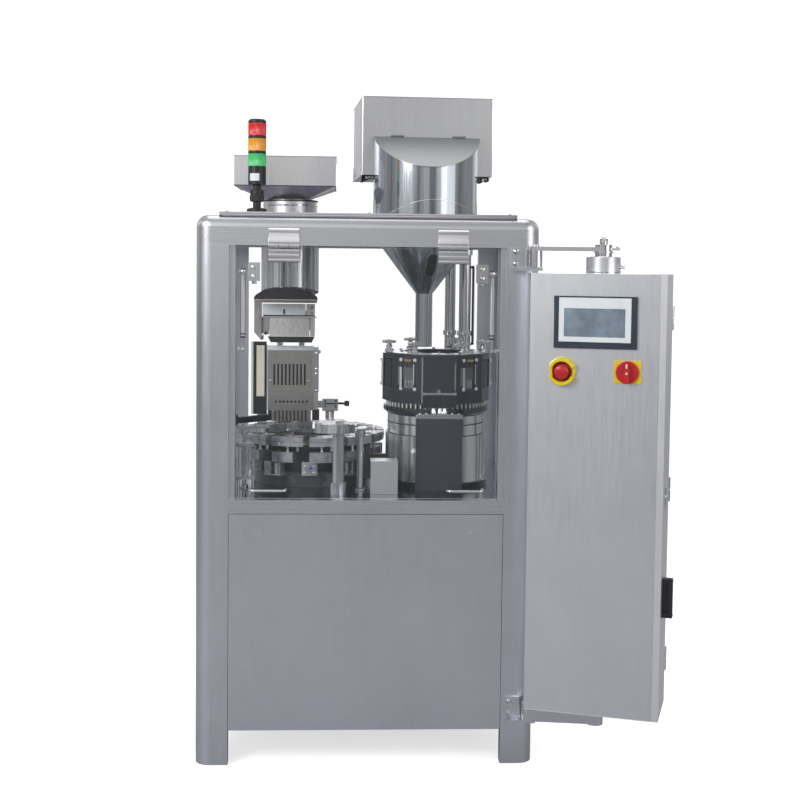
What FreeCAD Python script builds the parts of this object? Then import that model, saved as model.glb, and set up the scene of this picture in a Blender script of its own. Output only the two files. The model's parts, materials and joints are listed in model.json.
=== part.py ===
"""Automatic capsule filling machine, as a parametric document.

X is to the right, Y to the back, Z up, in millimetres. Pieces are drawn from the centre of the machine
body's footprint on the floor, and node() then moves them so that the origin is at the middle of the whole
machine's plan, control cabinet included. The turret stands left of the middle, the dosing station right.
"""
import FreeCAD, Part
import os
import re

import Sketcher
from FreeCAD import Placement, Rotation, Vector

SIZES = {
    # from the middle of the whole plan to the centre of the machine body
    "origin_right": 197, "origin_front": 112,
    # frame
    "frame_width": 1020, "frame_depth": 860, "frame_top": 1648, "beam_height": 88,
    "post_face": 99, "post_side": 104, "wall": 36, "corner_radius": 45, "edge_radius": 34,
    "stop_width": 18, "stop_depth": 40, "stop_setback": 12,
    "table_top": 804, "table_thick": 14, "rail_height": 41, "shaft_hole": 40,
    "panel_bottom": 106, "panel_thick": 24, "panel_skin": 3, "base_thick": 12,
    "roof_width": 882, "roof_depth": 830, "roof_thick": 10, "roof_flange": 4,
    "seam": 1.5, "pane_thick": 6, "screw_radius": 6, "screw_head": 4,
    # front door
    "door_thick": 8, "door_seam": 5, "hinge_offset": 250, "hinge_width": 90, "hinge_leaf": 44,
    "hinge_thick": 11, "knuckle_radius": 6, "handle_offset": 292, "handle_width": 105,
    "handle_reach": 34, "handle_rod": 4, "handle_rise": 838,
    # gas struts
    "strut_offset": 372, "strut_setback": 38, "strut_foot": 1251, "strut_head": 1482,
    "strut_radius": 8, "strut_rod": 3.5, "clamp_width": 35, "clamp_height": 55,
    # signal tower
    "tower_left": 333, "tower_front": 375, "lens_radius": 26.5, "lens_height": 36, "lens_gap": 9,
    # capsule feed
    "feed_left": 254, "feed_back": 165, "feed_radius": 97, "feed_wall": 2, "feed_end": 1385,
    "bin_width": 330, "bin_depth": 330, "bin_top": 1856, "bin_foot": 1759, "bin_neck": 1715,
    "neck_radius": 91, "sheet": 3, "chute_left": 256, "chute_width": 180, "chute_depth": 110,
    "chute_top": 1378, "chute_foot": 1240,
    # magazine
    "magazine_left": 327, "magazine_width": 148, "magazine_front": 158, "magazine_depth": 98,
    "magazine_foot": 1007, "magazine_top": 1222, "comb_foot": 968, "slot_pitch": 13, "slot_width": 5,
    "guide_radius": 10, "running_gap": 0.05,
    # turret
    "turret_left": 175, "turret_front": 20, "turret_base": 194, "base_height": 42, "turret_radius": 170,
    "segment_inner": 172, "segment_outer": 238, "segment_sweep": 25, "stations": 12,
    "segment_top": 966, "shaft_radius": 25, "shaft_foot": 660,
    # dosing station
    "dosing_right": 228, "dosing_front": 80, "dosing_radius": 161, "bowl_radius": 155,
    "platen_radius": 168, "platen_top": 1055, "head_radius": 172.5, "head_foot": 1072,
    "head_top": 1222, "head_bore": 100, "pin_circle": 148, "pin_radius": 3.2, "knob_circle": 152,
    "cover_left": 155, "cover_width": 145, "cover_front": 260, "cover_top": 1038,
    # powder hopper
    "hopper_right": 189, "hopper_front": 40, "hopper_radius": 169, "hopper_wall": 2.5,
    "hopper_shoulder": 1600, "hopper_neck": 1413, "hopper_spout": 1240, "spout_radius": 27.5,
    "hopper_high": 1916, "hopper_low": 1813, "box_setback": 20, "box_width": 421, "box_depth": 409,
    "box_foot": 1793, "box_top": 2044, "feed_yaw": 3.5,
    # drive
    "cam_axis": 420, "cam_shaft": 20, "cam_radius": 68, "cam_throw": 14, "index_side": 190,
    "index_foot": 630,
    # control cabinet
    "cabinet_yaw": -18.5, "cabinet_width": 390,
    "cabinet_depth": 206, "cabinet_foot": 202, "cabinet_top": 1488, "side_thick": 19.5,
    "arm_right": 490, "arm_front": 464, "arm_yaw": -8.5, "arm_length": 198, "arm_width": 50,
}

doc = FreeCAD.newDocument("capsule_filler")
sheet = doc.addObject("Spreadsheet::Sheet", "sizes")
for line, (alias, value) in enumerate(SIZES.items(), start=1):
    sheet.set(f"A{line}", alias)
    sheet.set(f"B{line}", str(value))
    sheet.setAlias(f"B{line}", alias)
doc.recompute()

NODES = []
ALIAS = re.compile(r"\b(" + "|".join(SIZES) + r")\b")
AXIS_TURNS = {
    "z": Rotation(),
    "x": Rotation(Vector(0, 1, 0), 90),
    "y": Rotation(Vector(1, 0, 0), -90),
}


def bound(text):
    """The expression for a size given in words of the sheet."""
    return ALIAS.sub(r"sizes.\1", str(text))


def bind(item, **sizes):
    """Bind properties of an item to the sheet."""
    for name, text in sizes.items():
        item.setExpression(name, bound(text))
    return item


def place(item, at, yaw=None):
    """Put an item's own origin at three expressions, turned about Z by a fourth."""
    for axis, text in zip("xyz", at):
        item.setExpression(f".Placement.Base.{axis}", bound(text))
    if yaw is not None:
        item.Placement.Rotation = Rotation(Vector(0, 0, 1), 1)
        item.setExpression(".Placement.Rotation.Angle", bound(yaw))
    return item


def box(size, at):
    """A block from its lowest corner."""
    item = doc.addObject("Part::Box", "block")
    bind(item, Length=size[0], Width=size[1], Height=size[2])
    return place(item, at)


def tilted_box(size, at, angle):
    """A block turned about X through its lowest corner."""
    item = box(size, at)
    item.Placement.Rotation = Rotation(Vector(1, 0, 0), 1)
    item.setExpression(".Placement.Rotation.Angle", bound(angle))
    return item


def cylinder(radius, height, at, axis="z"):
    """A round bar from the centre of its first face."""
    item = doc.addObject("Part::Cylinder", "round")
    bind(item, Radius=radius, Height=height)
    item.Placement = Placement(Vector(), AXIS_TURNS[axis])
    return place(item, at)


def wedge(width, depth, small_width, small_depth, height, at):
    """A pyramid frustum with its large face up, centred on its small face."""
    item = doc.addObject("Part::Wedge", "frustum")
    bind(
        item, Xmin=f"-({small_width})/2", Xmax=f"({small_width})/2", Zmin=f"-({small_depth})/2",
        Zmax=f"({small_depth})/2", Ymin="0", Ymax=height, X2min=f"-({width})/2", X2max=f"({width})/2",
        Z2min=f"-({depth})/2", Z2max=f"({depth})/2",
    )
    item.Placement = Placement(Vector(), Rotation(Vector(1, 0, 0), 90))
    return place(item, at)


def cut(base, *tools):
    """The base without its tools."""
    for tool in tools:
        item = doc.addObject("Part::Cut", "cut")
        item.Base = base
        item.Tool = tool
        base = item
    return base


def fuse(*pieces):
    """One solid from several."""
    item = doc.addObject("Part::MultiFuse", "fused")
    item.Shapes = list(pieces)
    item.Refine = True
    return item


def common(base, tool):
    """What two solids share."""
    item = doc.addObject("Part::Common", "shared")
    item.Base = base
    item.Tool = tool
    return item


def group(*pieces):
    """Several separate solids in one sub-part."""
    item = doc.addObject("Part::Compound", "group")
    item.Links = list(pieces)
    return item


def node(label, item):
    """Name a sub-part, and move it to the frame of the whole machine."""
    part = place(group(item), ("-origin_right", "origin_front", "0"))
    part.Label = label
    NODES.append(part)


def outline_sketch(body, role, points):
    """A closed outline of straight edges on an origin plane, every corner held by the sheet."""
    plane = next(feature for feature in body.Origin.OriginFeatures if feature.Role == role)
    sketch = body.newObject("Sketcher::SketchObject", "outline")
    sketch.AttachmentSupport = [(plane, "")]
    sketch.MapMode = "FlatFace"
    corners = [Vector(*(evaluate(text) for text in point), 0) for point in points]
    count = len(corners)
    for index in range(count):
        sketch.addGeometry(Part.LineSegment(corners[index], corners[(index + 1) % count]))
    for index in range(count):
        sketch.addConstraint(Sketcher.Constraint("Coincident", index, 2, (index + 1) % count, 1))
    for index, point in enumerate(points):
        for kind, text, axis in zip(("DistanceX", "DistanceY"), point, (-2, -1)):
            if str(text) == "0":
                sketch.addConstraint(Sketcher.Constraint("PointOnObject", index, 1, axis))
                continue
            held = Sketcher.Constraint(kind, -1, 1, index, 1, evaluate(text))
            number = sketch.addConstraint(held)
            sketch.setExpression(f"Constraints[{number}]", bound(text))
    return sketch


def evaluate(text):
    """The number that an expression in words of the sheet stands for."""
    return float(sheet.evalExpression(bound(text)))


def new_body():
    return doc.addObject("PartDesign::Body", "body")


def pad(role, points, length, reverse=False):
    """A body padded from an outline."""
    body = new_body()
    sketch = outline_sketch(body, role, points)
    feature = body.newObject("PartDesign::Pad", "pad")
    feature.Profile = sketch
    feature.Reversed = reverse
    sketch.Visibility = False
    bind(feature, Length=length)
    return body


def turn(points, sweep="360"):
    """A body turned about Z from an outline of radius and height."""
    body = new_body()
    sketch = outline_sketch(body, "XZ_Plane", points)
    feature = body.newObject("PartDesign::Revolution", "turned")
    feature.Profile = sketch
    feature.ReferenceAxis = (sketch, ["V_Axis"])
    bind(feature, Angle=sweep)
    return body


def around(body, count):
    """Repeat a body's feature round its Z axis."""
    doc.recompute()
    axis = next(feature for feature in body.Origin.OriginFeatures if feature.Role == "Z_Axis")
    pattern = body.newObject("PartDesign::PolarPattern", "around")
    pattern.Originals = [body.Tip]
    pattern.Axis = (axis, [""])
    pattern.Angle = 360
    bind(pattern, Occurrences=count)
    body.Tip = pattern
    return body


def round_edges(body, radius, wanted):
    """Round the edges of a body that a test picks out."""
    doc.recompute()
    base = body.Tip
    names = [f"Edge{n}" for n, edge in enumerate(base.Shape.Edges, start=1) if wanted(edge)]
    feature = body.newObject("PartDesign::Fillet", "rounded")
    feature.Base = (base, names)
    bind(feature, Radius=radius)
    body.Tip = feature
    return body


def upright(edge):
    """Whether an edge is straight and vertical."""
    ends = [vertex.Point for vertex in edge.Vertexes]
    return len(ends) == 2 and (ends[0] - ends[1]).cross(Vector(0, 0, 1)).Length < 1e-6


def outermost(edge):
    """Whether an edge is the outer corner of a post."""
    room = edge.BoundBox
    return upright(edge) and max(abs(room.XMin), abs(room.YMin)) < 1e-6


def highest(edge):
    """Whether an edge lies at the top of the top frame."""
    return edge.BoundBox.ZMin > evaluate("beam_height") - 1e-6


# ---------------------------------------------------------------- frame


def frame_posts():
    """Four L-shaped corner posts. The front ones carry the door stop and the stud of a gas strut."""
    posts = []
    corners = ((-1, -1), (1, -1), (1, 1), (-1, 1))
    for quarter, (right, back) in enumerate(corners):
        face, side = ("post_face", "post_side") if quarter % 2 == 0 else ("post_side", "post_face")
        outline = [("0", "0"), (face, "0"), (face, "wall"), ("wall", "wall"), ("wall", side), ("0", side)]
        post = pad("XY_Plane", outline, "frame_top - beam_height")
        round_edges(post, "corner_radius", outermost)
        place(post, (f"{right}*frame_width/2", f"{back}*frame_depth/2", "0"), str(90 * quarter))
        if back > 0:
            posts.append(post)
            continue
        inner = "frame_width/2 - post_face"
        left = f"{right}*({inner})" if right < 0 else f"{inner} - stop_width"
        stop = box(
            ("stop_width", "stop_depth", "frame_top - beam_height - table_top"),
            (left, "-frame_depth/2 + stop_setback", "table_top"),
        )
        stud_length = "frame_width/2 - post_face - strut_offset + 6"
        stud_left = "strut_offset - 6" if right > 0 else f"-({inner})"
        stud = cylinder(4, stud_length, (stud_left, "-frame_depth/2 + strut_setback", "strut_foot"), "x")
        posts.append(fuse(post, stop, stud))
    return group(*posts)


def top_frame():
    """The ring of beams round the roof, with rounded corners and top edges."""
    outline = [("0", "0"), ("frame_width", "0"), ("frame_width", "frame_depth"), ("0", "frame_depth")]
    ring = pad("XY_Plane", outline, "beam_height")
    round_edges(ring, "corner_radius", upright)
    round_edges(ring, "edge_radius", highest)
    place(ring, ("-frame_width/2", "-frame_depth/2", "frame_top - beam_height"))
    hollow = box(
        ("frame_width - 2*wall", "frame_depth - 2*wall", "beam_height"),
        ("-frame_width/2 + wall", "-frame_depth/2 + wall", "frame_top - beam_height - roof_flange"),
    )
    mouth = box(
        ("frame_width - 5*wall", "frame_depth - 5*wall", "beam_height"),
        ("-frame_width/2 + 2.5*wall", "-frame_depth/2 + 2.5*wall", "frame_top - beam_height/2"),
    )
    return cut(ring, hollow, mouth)


def table_rails():
    """Four rails that carry the table between the posts."""
    rails = []
    for side in (-1, 1):
        front = "-frame_depth/2" if side < 0 else "frame_depth/2 - wall"
        left = "-frame_width/2" if side < 0 else "frame_width/2 - wall"
        rails.append(box(
            ("frame_width - 2*post_face", "wall", "rail_height"),
            ("-frame_width/2 + post_face", front, "table_top - rail_height"),
        ))
        rails.append(box(
            ("wall", "frame_depth - 2*post_side", "rail_height"),
            (left, "-frame_depth/2 + post_side", "table_top - rail_height"),
        ))
    return group(*rails)


def deck(top, thick):
    """A plate that fills the inside of the frame."""
    return box(
        ("frame_width - 2*wall - seam", "frame_depth - 2*wall - seam", thick),
        ("-frame_width/2 + wall + seam/2", "-frame_depth/2 + wall + seam/2", f"{top} - {thick}"),
    )


def table_plate():
    """The mirror-polished table, with a hole under each rotating station."""
    holes = [
        cylinder("shaft_hole", "3*table_thick", (x, y, "table_top - 2*table_thick"))
        for x, y in (("-turret_left", "-turret_front"), ("dosing_right", "-dosing_front"))
    ]
    return cut(deck("table_top", "table_thick"), *holes)


def roof_plate():
    """The cover plate on the top frame, with holes for the two hoppers."""
    plate = box(
        ("roof_width", "roof_depth", "roof_thick"), ("-roof_width/2", "-roof_depth/2", "frame_top")
    )
    holes = [
        cylinder(f"{radius} + 1", "3*roof_thick", (x, y, "frame_top - roof_thick"))
        for radius, x, y in (
            ("neck_radius", "-feed_left", "feed_back"), ("hopper_radius", "hopper_right", "-hopper_front"),
        )
    ]
    return cut(plate, *holes)


def pan(width, depth, at, hollow_at):
    """A folded sheet panel, open towards the machine's inside."""
    height = "table_top - rail_height - seam - panel_bottom"
    shell = box((width, depth, height), at)
    inner = [width, depth, f"{height} - 2*panel_skin"]
    across = 0 if depth == "panel_thick" else 1
    inner[across] = f"{inner[across]} - 2*panel_skin"
    return cut(shell, box(inner, hollow_at))


def front_rear_panels():
    """The two lower panels that span the front and the rear, alike."""
    width = "frame_width - 2*post_face - 2*seam"
    left = "-frame_width/2 + post_face + seam"
    panels = []
    for side in (-1, 1):
        front = "-frame_depth/2" if side < 0 else "frame_depth/2 - panel_thick"
        shift = "+ panel_skin" if side < 0 else "- panel_skin"
        panels.append(pan(
            width, "panel_thick", (left, front, "panel_bottom"),
            (f"{left} + panel_skin", f"{front} {shift}", "panel_bottom + panel_skin"),
        ))
    return group(*panels)


def side_panels():
    """The two lower panels at the sides, alike."""
    depth = "frame_depth - 2*post_side - 2*seam"
    front = "-frame_depth/2 + post_side + seam"
    panels = []
    for side in (-1, 1):
        left = "-frame_width/2" if side < 0 else "frame_width/2 - panel_thick"
        shift = "+ panel_skin" if side < 0 else "- panel_skin"
        panels.append(pan(
            "panel_thick", depth, (left, front, "panel_bottom"),
            (f"{left} {shift}", f"{front} + panel_skin", "panel_bottom + panel_skin"),
        ))
    return group(*panels)


def window_panes():
    """Clear panes at the two sides and the rear of the work chamber."""
    height = "frame_top - beam_height - table_top - 2*seam"
    panes = [box(
        ("frame_width - 2*post_face - 2*seam", "pane_thick", height),
        ("-frame_width/2 + post_face + seam", "frame_depth/2 - 2*pane_thick", "table_top + seam"),
    )]
    for left in ("-frame_width/2 + pane_thick", "frame_width/2 - 2*pane_thick"):
        panes.append(box(
            ("pane_thick", "frame_depth - 2*post_side - 2*seam", height),
            (left, "-frame_depth/2 + post_side + seam", "table_top + seam"),
        ))
    return group(*panes)


def socket_screw(x, y, z):
    """The head of a hex-socket screw that faces the front."""
    head = cylinder("screw_radius", "screw_head", (x, f"{y} - screw_head", z), "y")
    socket = doc.addObject("Part::Prism", "socket")
    socket.Polygon = 6
    bind(socket, Circumradius="screw_radius/2", Height="screw_head")
    socket.Placement = Placement(Vector(), AXIS_TURNS["y"])
    place(socket, (x, f"{y} - 1.5*screw_head", z))
    return cut(head, socket)


def socket_screws():
    """Screws of the front panel and of the two arm brackets."""
    heads = [socket_screw(x, "-frame_depth/2", "table_top - 102") for x in ("-314", "314")]
    for z in ("1515", "1548", "158", "189"):
        heads.append(socket_screw("438", "-frame_depth/2 - 10", z))
    return group(*heads)


# ---------------------------------------------------------------- front door


def door_pane():
    """The clear front door, set between the front posts."""
    return box(
        ("frame_width - 2*post_face - 2*door_seam", "door_thick",
         "frame_top - beam_height - table_top - 2*door_seam"),
        ("-frame_width/2 + post_face + door_seam", "-frame_depth/2", "table_top + door_seam"),
    )


def door_handle(centre):
    """A bent rod handle, standing out of the door in a flat bow."""
    bend = "3*handle_rod"
    front = "-frame_depth/2 - handle_reach"
    left = f"{centre} - handle_width/2 + {bend}"
    pieces = [cylinder("handle_rod", f"handle_width - 2*{bend}", (left, front, "handle_rise"), "x")]
    for side, start in ((-1, 180), (1, 270)):
        x = f"{centre} + {side}*handle_width/2"
        leg = cylinder("handle_rod", f"handle_reach - {bend}", (x, f"{front} + {bend}", "handle_rise"), "y")
        elbow = doc.addObject("Part::Torus", "elbow")
        bind(elbow, Radius1=bend, Radius2="handle_rod", Angle3="90")
        elbow.Placement = Placement(Vector(), Rotation(Vector(0, 0, 1), start))
        place(elbow, (f"{x} - {side}*{bend}", f"{front} + {bend}", "handle_rise"))
        pieces += [leg, elbow]
    return fuse(*pieces)


def hinge_leaves(on_door):
    """The leaf of each door hinge. The frame's leaf ends in two knuckles and the pin, the door's in one."""
    leaves = []
    front = "-frame_depth/2 - hinge_thick"
    axis_front = "-frame_depth/2 - knuckle_radius - 1"
    rise = "frame_top - beam_height"
    third = "hinge_width/3"
    for centre in ("-hinge_offset", "hinge_offset"):
        left = f"{centre} - hinge_width/2"
        low = f"{rise} - hinge_leaf - knuckle_radius - 1" if on_door else f"{rise} + knuckle_radius + 1"
        plate = box(("hinge_width", "hinge_thick", "hinge_leaf"), (left, front, low))
        web_low = f"{rise} - knuckle_radius - 2" if on_door else rise
        if on_door:
            spans = [(f"{left} + {third} + 0.3", f"{third} - 0.6")]
        else:
            spans = [(left, third), (f"{left} + 2*{third}", third)]
        pieces = [plate]
        for start, length in spans:
            knuckle = cylinder("knuckle_radius", length, (start, axis_front, rise), "x")
            web = box((length, "4", "knuckle_radius + 2"), (start, "-frame_depth/2 - 9", web_low))
            pieces += [knuckle, web]
        leaf = fuse(*pieces)
        if on_door:
            bore = cylinder("2.5 + running_gap", "hinge_width", (left, axis_front, rise), "x")
            leaves.append(cut(leaf, bore))
        else:
            pin = cylinder("2.5", "hinge_width", (left, axis_front, rise), "x")
            leaves.append(fuse(leaf, pin))
    return group(*leaves)


def strut_rods():
    """The gas struts' piston rods, with the eye on the post's stud."""
    rods = []
    for side in (-1, 1):
        x = f"{side}*strut_offset"
        y = "-frame_depth/2 + strut_setback"
        eye = cylinder("strut_radius", "8", (f"{x} - 4", y, "strut_foot"), "x")
        bore = cylinder("4 + running_gap", "12", (f"{x} - 6", y, "strut_foot"), "x")
        rod = cylinder("strut_rod", "strut_head - strut_foot - 46", (x, y, "strut_foot + 6"))
        piston = cylinder("5.9", "8", (x, y, "strut_head - 40"))
        rods.append(cut(fuse(eye, rod, piston), bore))
    return group(*rods)


def strut_cylinders():
    """The gas struts' cylinders, hollow, with a gland below and an eye above."""
    tubes = []
    for side in (-1, 1):
        x = f"{side}*strut_offset"
        y = "-frame_depth/2 + strut_setback"
        tube = cylinder("strut_radius", "strut_head - strut_foot - 53", (x, y, "strut_foot + 39"))
        hollow = cylinder("6", "strut_head - strut_foot - 76", (x, y, "strut_foot + 51"))
        gland = cylinder("strut_rod + 0.1", "20", (x, y, "strut_foot + 35"))
        eye = cylinder("strut_radius - 1", "8", (f"{x} - 4", y, "strut_head"), "x")
        neck = cylinder("4", "16", (x, y, "strut_head - 16"))
        eye_hole = cylinder("3.5", "12", (f"{x} - 6", y, "strut_head"), "x")
        tubes.append(cut(fuse(tube, eye, neck), hollow, gland, eye_hole))
    return group(*tubes)


def strut_door_clamps():
    """Chrome clamps on the door's inner face, one beside the head of each strut."""
    clamps = []
    for side in (-1, 1):
        centre = f"{side}*(strut_offset - 16 - clamp_width/2)"
        y = "-frame_depth/2 + door_thick"
        low = "strut_head - clamp_height/2"
        block = box(("clamp_width", "18", "clamp_height"), (f"{centre} - clamp_width/2", y, low))
        roll = cylinder("clamp_width/2", "clamp_height", (centre, f"{y} + 18", low))
        clamps.append(fuse(block, roll))
    return group(*clamps)


# ---------------------------------------------------------------- signal tower


def tower_part(outline):
    """A turned piece on the signal tower's axis, its heights counted from the roof."""
    body = turn(outline)
    return place(body, ("-tower_left", "-tower_front", "frame_top + roof_thick"))


def tower_housing():
    """The black foot, stem, clamp ring, base housing, parting rings and cap of the signal tower."""
    foot = tower_part([
        ("0", "0"), ("30", "0"), ("30", "10"), ("12", "14"), ("12", "30"), ("20", "32"), ("20", "66"),
        ("12", "68"), ("12", "80"), ("lens_radius", "82"), ("lens_radius", "136"), ("0", "136"),
    ])
    rings = []
    for k in (1, 2):
        start = ("-tower_left", "-tower_front", f"{tower_level(k)} - lens_gap")
        rings.append(cylinder("lens_radius - 2", "lens_gap", start))
    cap = tower_part([
        ("0", tower_height(3)), ("lens_radius", tower_height(3)), ("lens_radius", f"{tower_height(3)} + 6"),
        ("22", f"{tower_height(3)} + 12"), ("0", f"{tower_height(3)} + 12"),
    ])
    return group(foot, *rings, cap)


def tower_height(index):
    """Where a lens starts, above the roof."""
    return f"(136 + {index}*(lens_height + lens_gap) {'- lens_gap' if index == 3 else ''})"


def tower_level(index):
    """Where a lens starts, above the floor."""
    return f"(frame_top + roof_thick + {tower_height(index)})"


def lens(index):
    """One coloured lens, hollow."""
    base = tower_height(index)
    return tower_part([
        ("lens_radius - 3", base), ("lens_radius", base), ("lens_radius", f"{base} + lens_height"),
        ("lens_radius - 3", f"{base} + lens_height"),
    ])


# ---------------------------------------------------------------- capsule feed


def capsule_hopper():
    """An open square bin on a pyramid, with a round neck that passes through the roof."""
    centre = ("-feed_left", "feed_back")
    rise = "bin_foot - bin_neck"
    small = "1.3*neck_radius"
    low = ("-feed_left - bin_width/2 - 12", "feed_back - bin_depth/2")
    bin_outer = box(("bin_width", "bin_depth", "bin_top - bin_foot"), (*low, "bin_foot"))
    bin_inner = box(
        ("bin_width - 2*sheet", "bin_depth - 2*sheet", "bin_top"),
        (f"{low[0]} + sheet", f"{low[1]} + sheet", "bin_foot"),
    )
    start = ("-feed_left - 12", "feed_back", "bin_neck")
    slope = wedge("bin_width", "bin_depth", small, small, rise, start)
    slope_inner = wedge(
        "bin_width - 2*sheet", "bin_depth - 2*sheet",
        f"{small} - 4*sheet", f"{small} - 4*sheet", rise, start,
    )
    lip = cylinder("neck_radius", "sheet", (*centre, "bin_neck"))
    neck_foot = (*centre, "frame_top - beam_height/2")
    neck_height = "bin_neck - frame_top + beam_height/2"
    neck = cylinder("neck_radius", neck_height, neck_foot)
    neck_inner = cylinder("neck_radius - feed_wall", neck_height, neck_foot)
    passage = box(("40", "40", "4*sheet"), ("-feed_left - 32", "feed_back - 20", "bin_neck - sheet"))
    body = fuse(bin_outer, slope, lip)
    return fuse(cut(body, bin_inner, slope_inner, passage), cut(neck, neck_inner))


def feed_tube():
    """The wide tube under the roof, cut obliquely at its mouth."""
    centre = ("-feed_left", "feed_back")
    height = "frame_top - beam_height/2 - feed_end - 0.5"
    outer = cylinder("feed_radius", height, (*centre, "feed_end"))
    inner = cylinder("feed_radius - feed_wall", height, (*centre, "feed_end"))
    mouth = tilted_box(
        ("2.4*feed_radius", "3*feed_radius", "feed_radius"),
        ("-feed_left - 1.2*feed_radius", "feed_back - 1.3*feed_radius", "feed_end - feed_radius + 47"),
        "-11",
    )
    return cut(outer, inner, mouth)


def capsule_chute():
    """The clear box that leads capsules from the tube into the magazine."""
    left = "-chute_left - chute_width/2"
    front = "feed_back - chute_depth/2 + 10"
    outer = box(("chute_width", "chute_depth", "chute_top - chute_foot"), (left, front, "chute_foot"))
    inner = box(
        ("chute_width - 2*sheet", "chute_depth - 2*sheet", "chute_top"),
        (f"{left} + sheet", f"{front} + sheet", "chute_foot - sheet"),
    )
    gate = tilted_box(
        ("chute_width - 2*sheet", "sheet", "70"),
        (f"{left} + sheet", f"{front} + 40", "chute_foot + 40"),
        "20",
    )
    return fuse(cut(outer, inner), gate)


# ---------------------------------------------------------------- magazine

GUIDES = ("-290", "-215")
GUIDE_BACK = "235"


def magazine_block():
    """The capsule magazine's block, with the comb of channels below and bores for its guides."""
    block = box(
        ("magazine_width + 22", "magazine_depth", "magazine_top - magazine_foot"),
        ("-magazine_left", "magazine_front", "magazine_foot"),
    )
    comb = box(
        ("magazine_width - 34", "30", "magazine_foot - comb_foot"),
        ("-magazine_left + 24", "magazine_front", "comb_foot"),
    )
    slots = [
        box(
            ("slot_width", "10", "magazine_foot - comb_foot - 6"),
            (f"-magazine_left + 29 + {k}*(slot_pitch - 0.8)", "magazine_front - 1", "comb_foot - 0.5"),
        )
        for k in range(9)
    ]
    bores = [
        cylinder("guide_radius + running_gap", "magazine_top", (x, GUIDE_BACK, "magazine_foot - 50"))
        for x in GUIDES
    ]
    chamber = box(
        ("magazine_width - 30", "24", "magazine_top - magazine_foot"),
        ("-magazine_left + 15", "magazine_front + 14", "magazine_foot + 30"),
    )
    return cut(fuse(block, comb), *slots, *bores, chamber)


def magazine_plate():
    """The front plates of the magazine: nine long slots above, nine round sight holes below."""
    plate = box(
        ("magazine_width", "3", "magazine_top - magazine_foot - 8"),
        ("-magazine_left", "magazine_front - 3", "magazine_foot"),
    )
    tools = []
    for k in range(9):
        x = f"-magazine_left + 21 + {k}*slot_pitch"
        tools.append(box(("slot_width", "10", "74"), (f"{x} - slot_width/2", "magazine_front - 6", "1092")))
        tools.append(cylinder("3", "10", (x, "magazine_front - 6", "1034"), "y"))
    return cut(plate, *tools)


def magazine_support():
    """Two guide rods and a side column on a foot plate."""
    foot = box(("196", "46", "20"), ("-366", "222", "table_top"))
    rods = [
        cylinder("guide_radius", "chute_foot - 4 - table_top", (x, GUIDE_BACK, "table_top")) for x in GUIDES
    ]
    column = box(("32", "46", "1224 - table_top"), ("-366", "222", "table_top"))
    return fuse(foot, *rods, column)


def adjuster_block():
    """The vacuum adjuster beside the magazine, with two short air tubes."""
    block = box(("54", "40", "42"), ("-142", "178", "1002"))
    bracket = box(("15", "24", "24"), ("-157", "186", "1012"))
    tubes = [cylinder("5", "28", (x, "198", "974")) for x in ("-126", "-107")]
    bore = cylinder("4 + running_gap", "30", ("-116", "198", "1026"), "x")
    return cut(fuse(block, bracket, *tubes), bore)


def adjuster_knob():
    """The adjuster's knob, with its spindle in the block."""
    spindle = cylinder("4", "46", ("-112", "198", "1026"), "x")
    knob = cylinder("9", "16", ("-66", "198", "1026"), "x")
    return fuse(spindle, knob)


# ---------------------------------------------------------------- turret

TURRET = ("-turret_left", "-turret_front", "0")


def turret_base():
    """The fixed black ring under the turret."""
    outline = [
        ("shaft_hole", "table_top"), ("turret_base", "table_top"),
        ("turret_base", "table_top + base_height"), ("turret_base - 6", "table_top + base_height + 7"),
        ("shaft_hole", "table_top + base_height + 7"),
    ]
    return place(turn(outline), TURRET)


def turret_drum():
    """The turning drum: shaft, drum and the plate that carries the segments."""
    outline = [
        ("0", "shaft_foot"), ("shaft_radius", "shaft_foot"), ("shaft_radius", "table_top + base_height + 8"),
        ("turret_radius", "table_top + base_height + 8"), ("turret_radius", "segment_top - 44"),
        ("segment_inner + 20", "segment_top - 42"), ("segment_inner + 20", "segment_top - 28"),
        ("60", "segment_top - 28"), ("54", "segment_top - 6"), ("0", "segment_top - 6"),
    ]
    return place(turn(outline), TURRET)


def segments(inner, outer, low, high, sweep):
    """A ring of separate segments round the turret."""
    outline = [(inner, low), (outer, low), (outer, high), (inner, high)]
    return place(around(turn(outline, sweep), "stations"), TURRET)


# ---------------------------------------------------------------- stations round the turret


def closing_station():
    """The closing station's front post, collar and bridge, and two slimmer posts with arms."""
    post = cylinder("17.5", "995 - table_top", ("-85", "-323", "table_top"))
    collar = cylinder("24", "35", ("-85", "-323", "table_top"))
    outline = [
        ("0", "20"), ("20", "0"), ("85", "0"), ("105", "20"),
        ("105", "80"), ("85", "150"), ("40", "150"), ("0", "80"),
    ]
    bridge = pad("XY_Plane", outline, "27")
    place(bridge, ("-158", "-362", "995"))
    main = fuse(post, collar, bridge)
    slim = fuse(
        cylinder("11", "990 - table_top", ("-18", "-252", "table_top")),
        box(("30", "90", "12"), ("-33", "-252", "978")),
    )
    left = fuse(
        cylinder("10", "990 - table_top", ("-384", "-198", "table_top")),
        box(("70", "24", "12"), ("-384", "-210", "978")),
    )
    return group(main, slim, left)


def discharge_chute():
    """The stepped block that leads filled capsules out."""
    tall = box(("65", "70", "101"), ("15", "-325", "table_top"))
    low = box(("16", "70", "71"), ("80", "-325", "table_top"))
    channel = tilted_box(("45", "120", "40"), ("25", "-340", "852"), "12")
    return cut(fuse(tall, low), channel)


# ---------------------------------------------------------------- dosing station

DOSING = ("dosing_right", "-dosing_front", "0")


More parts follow.
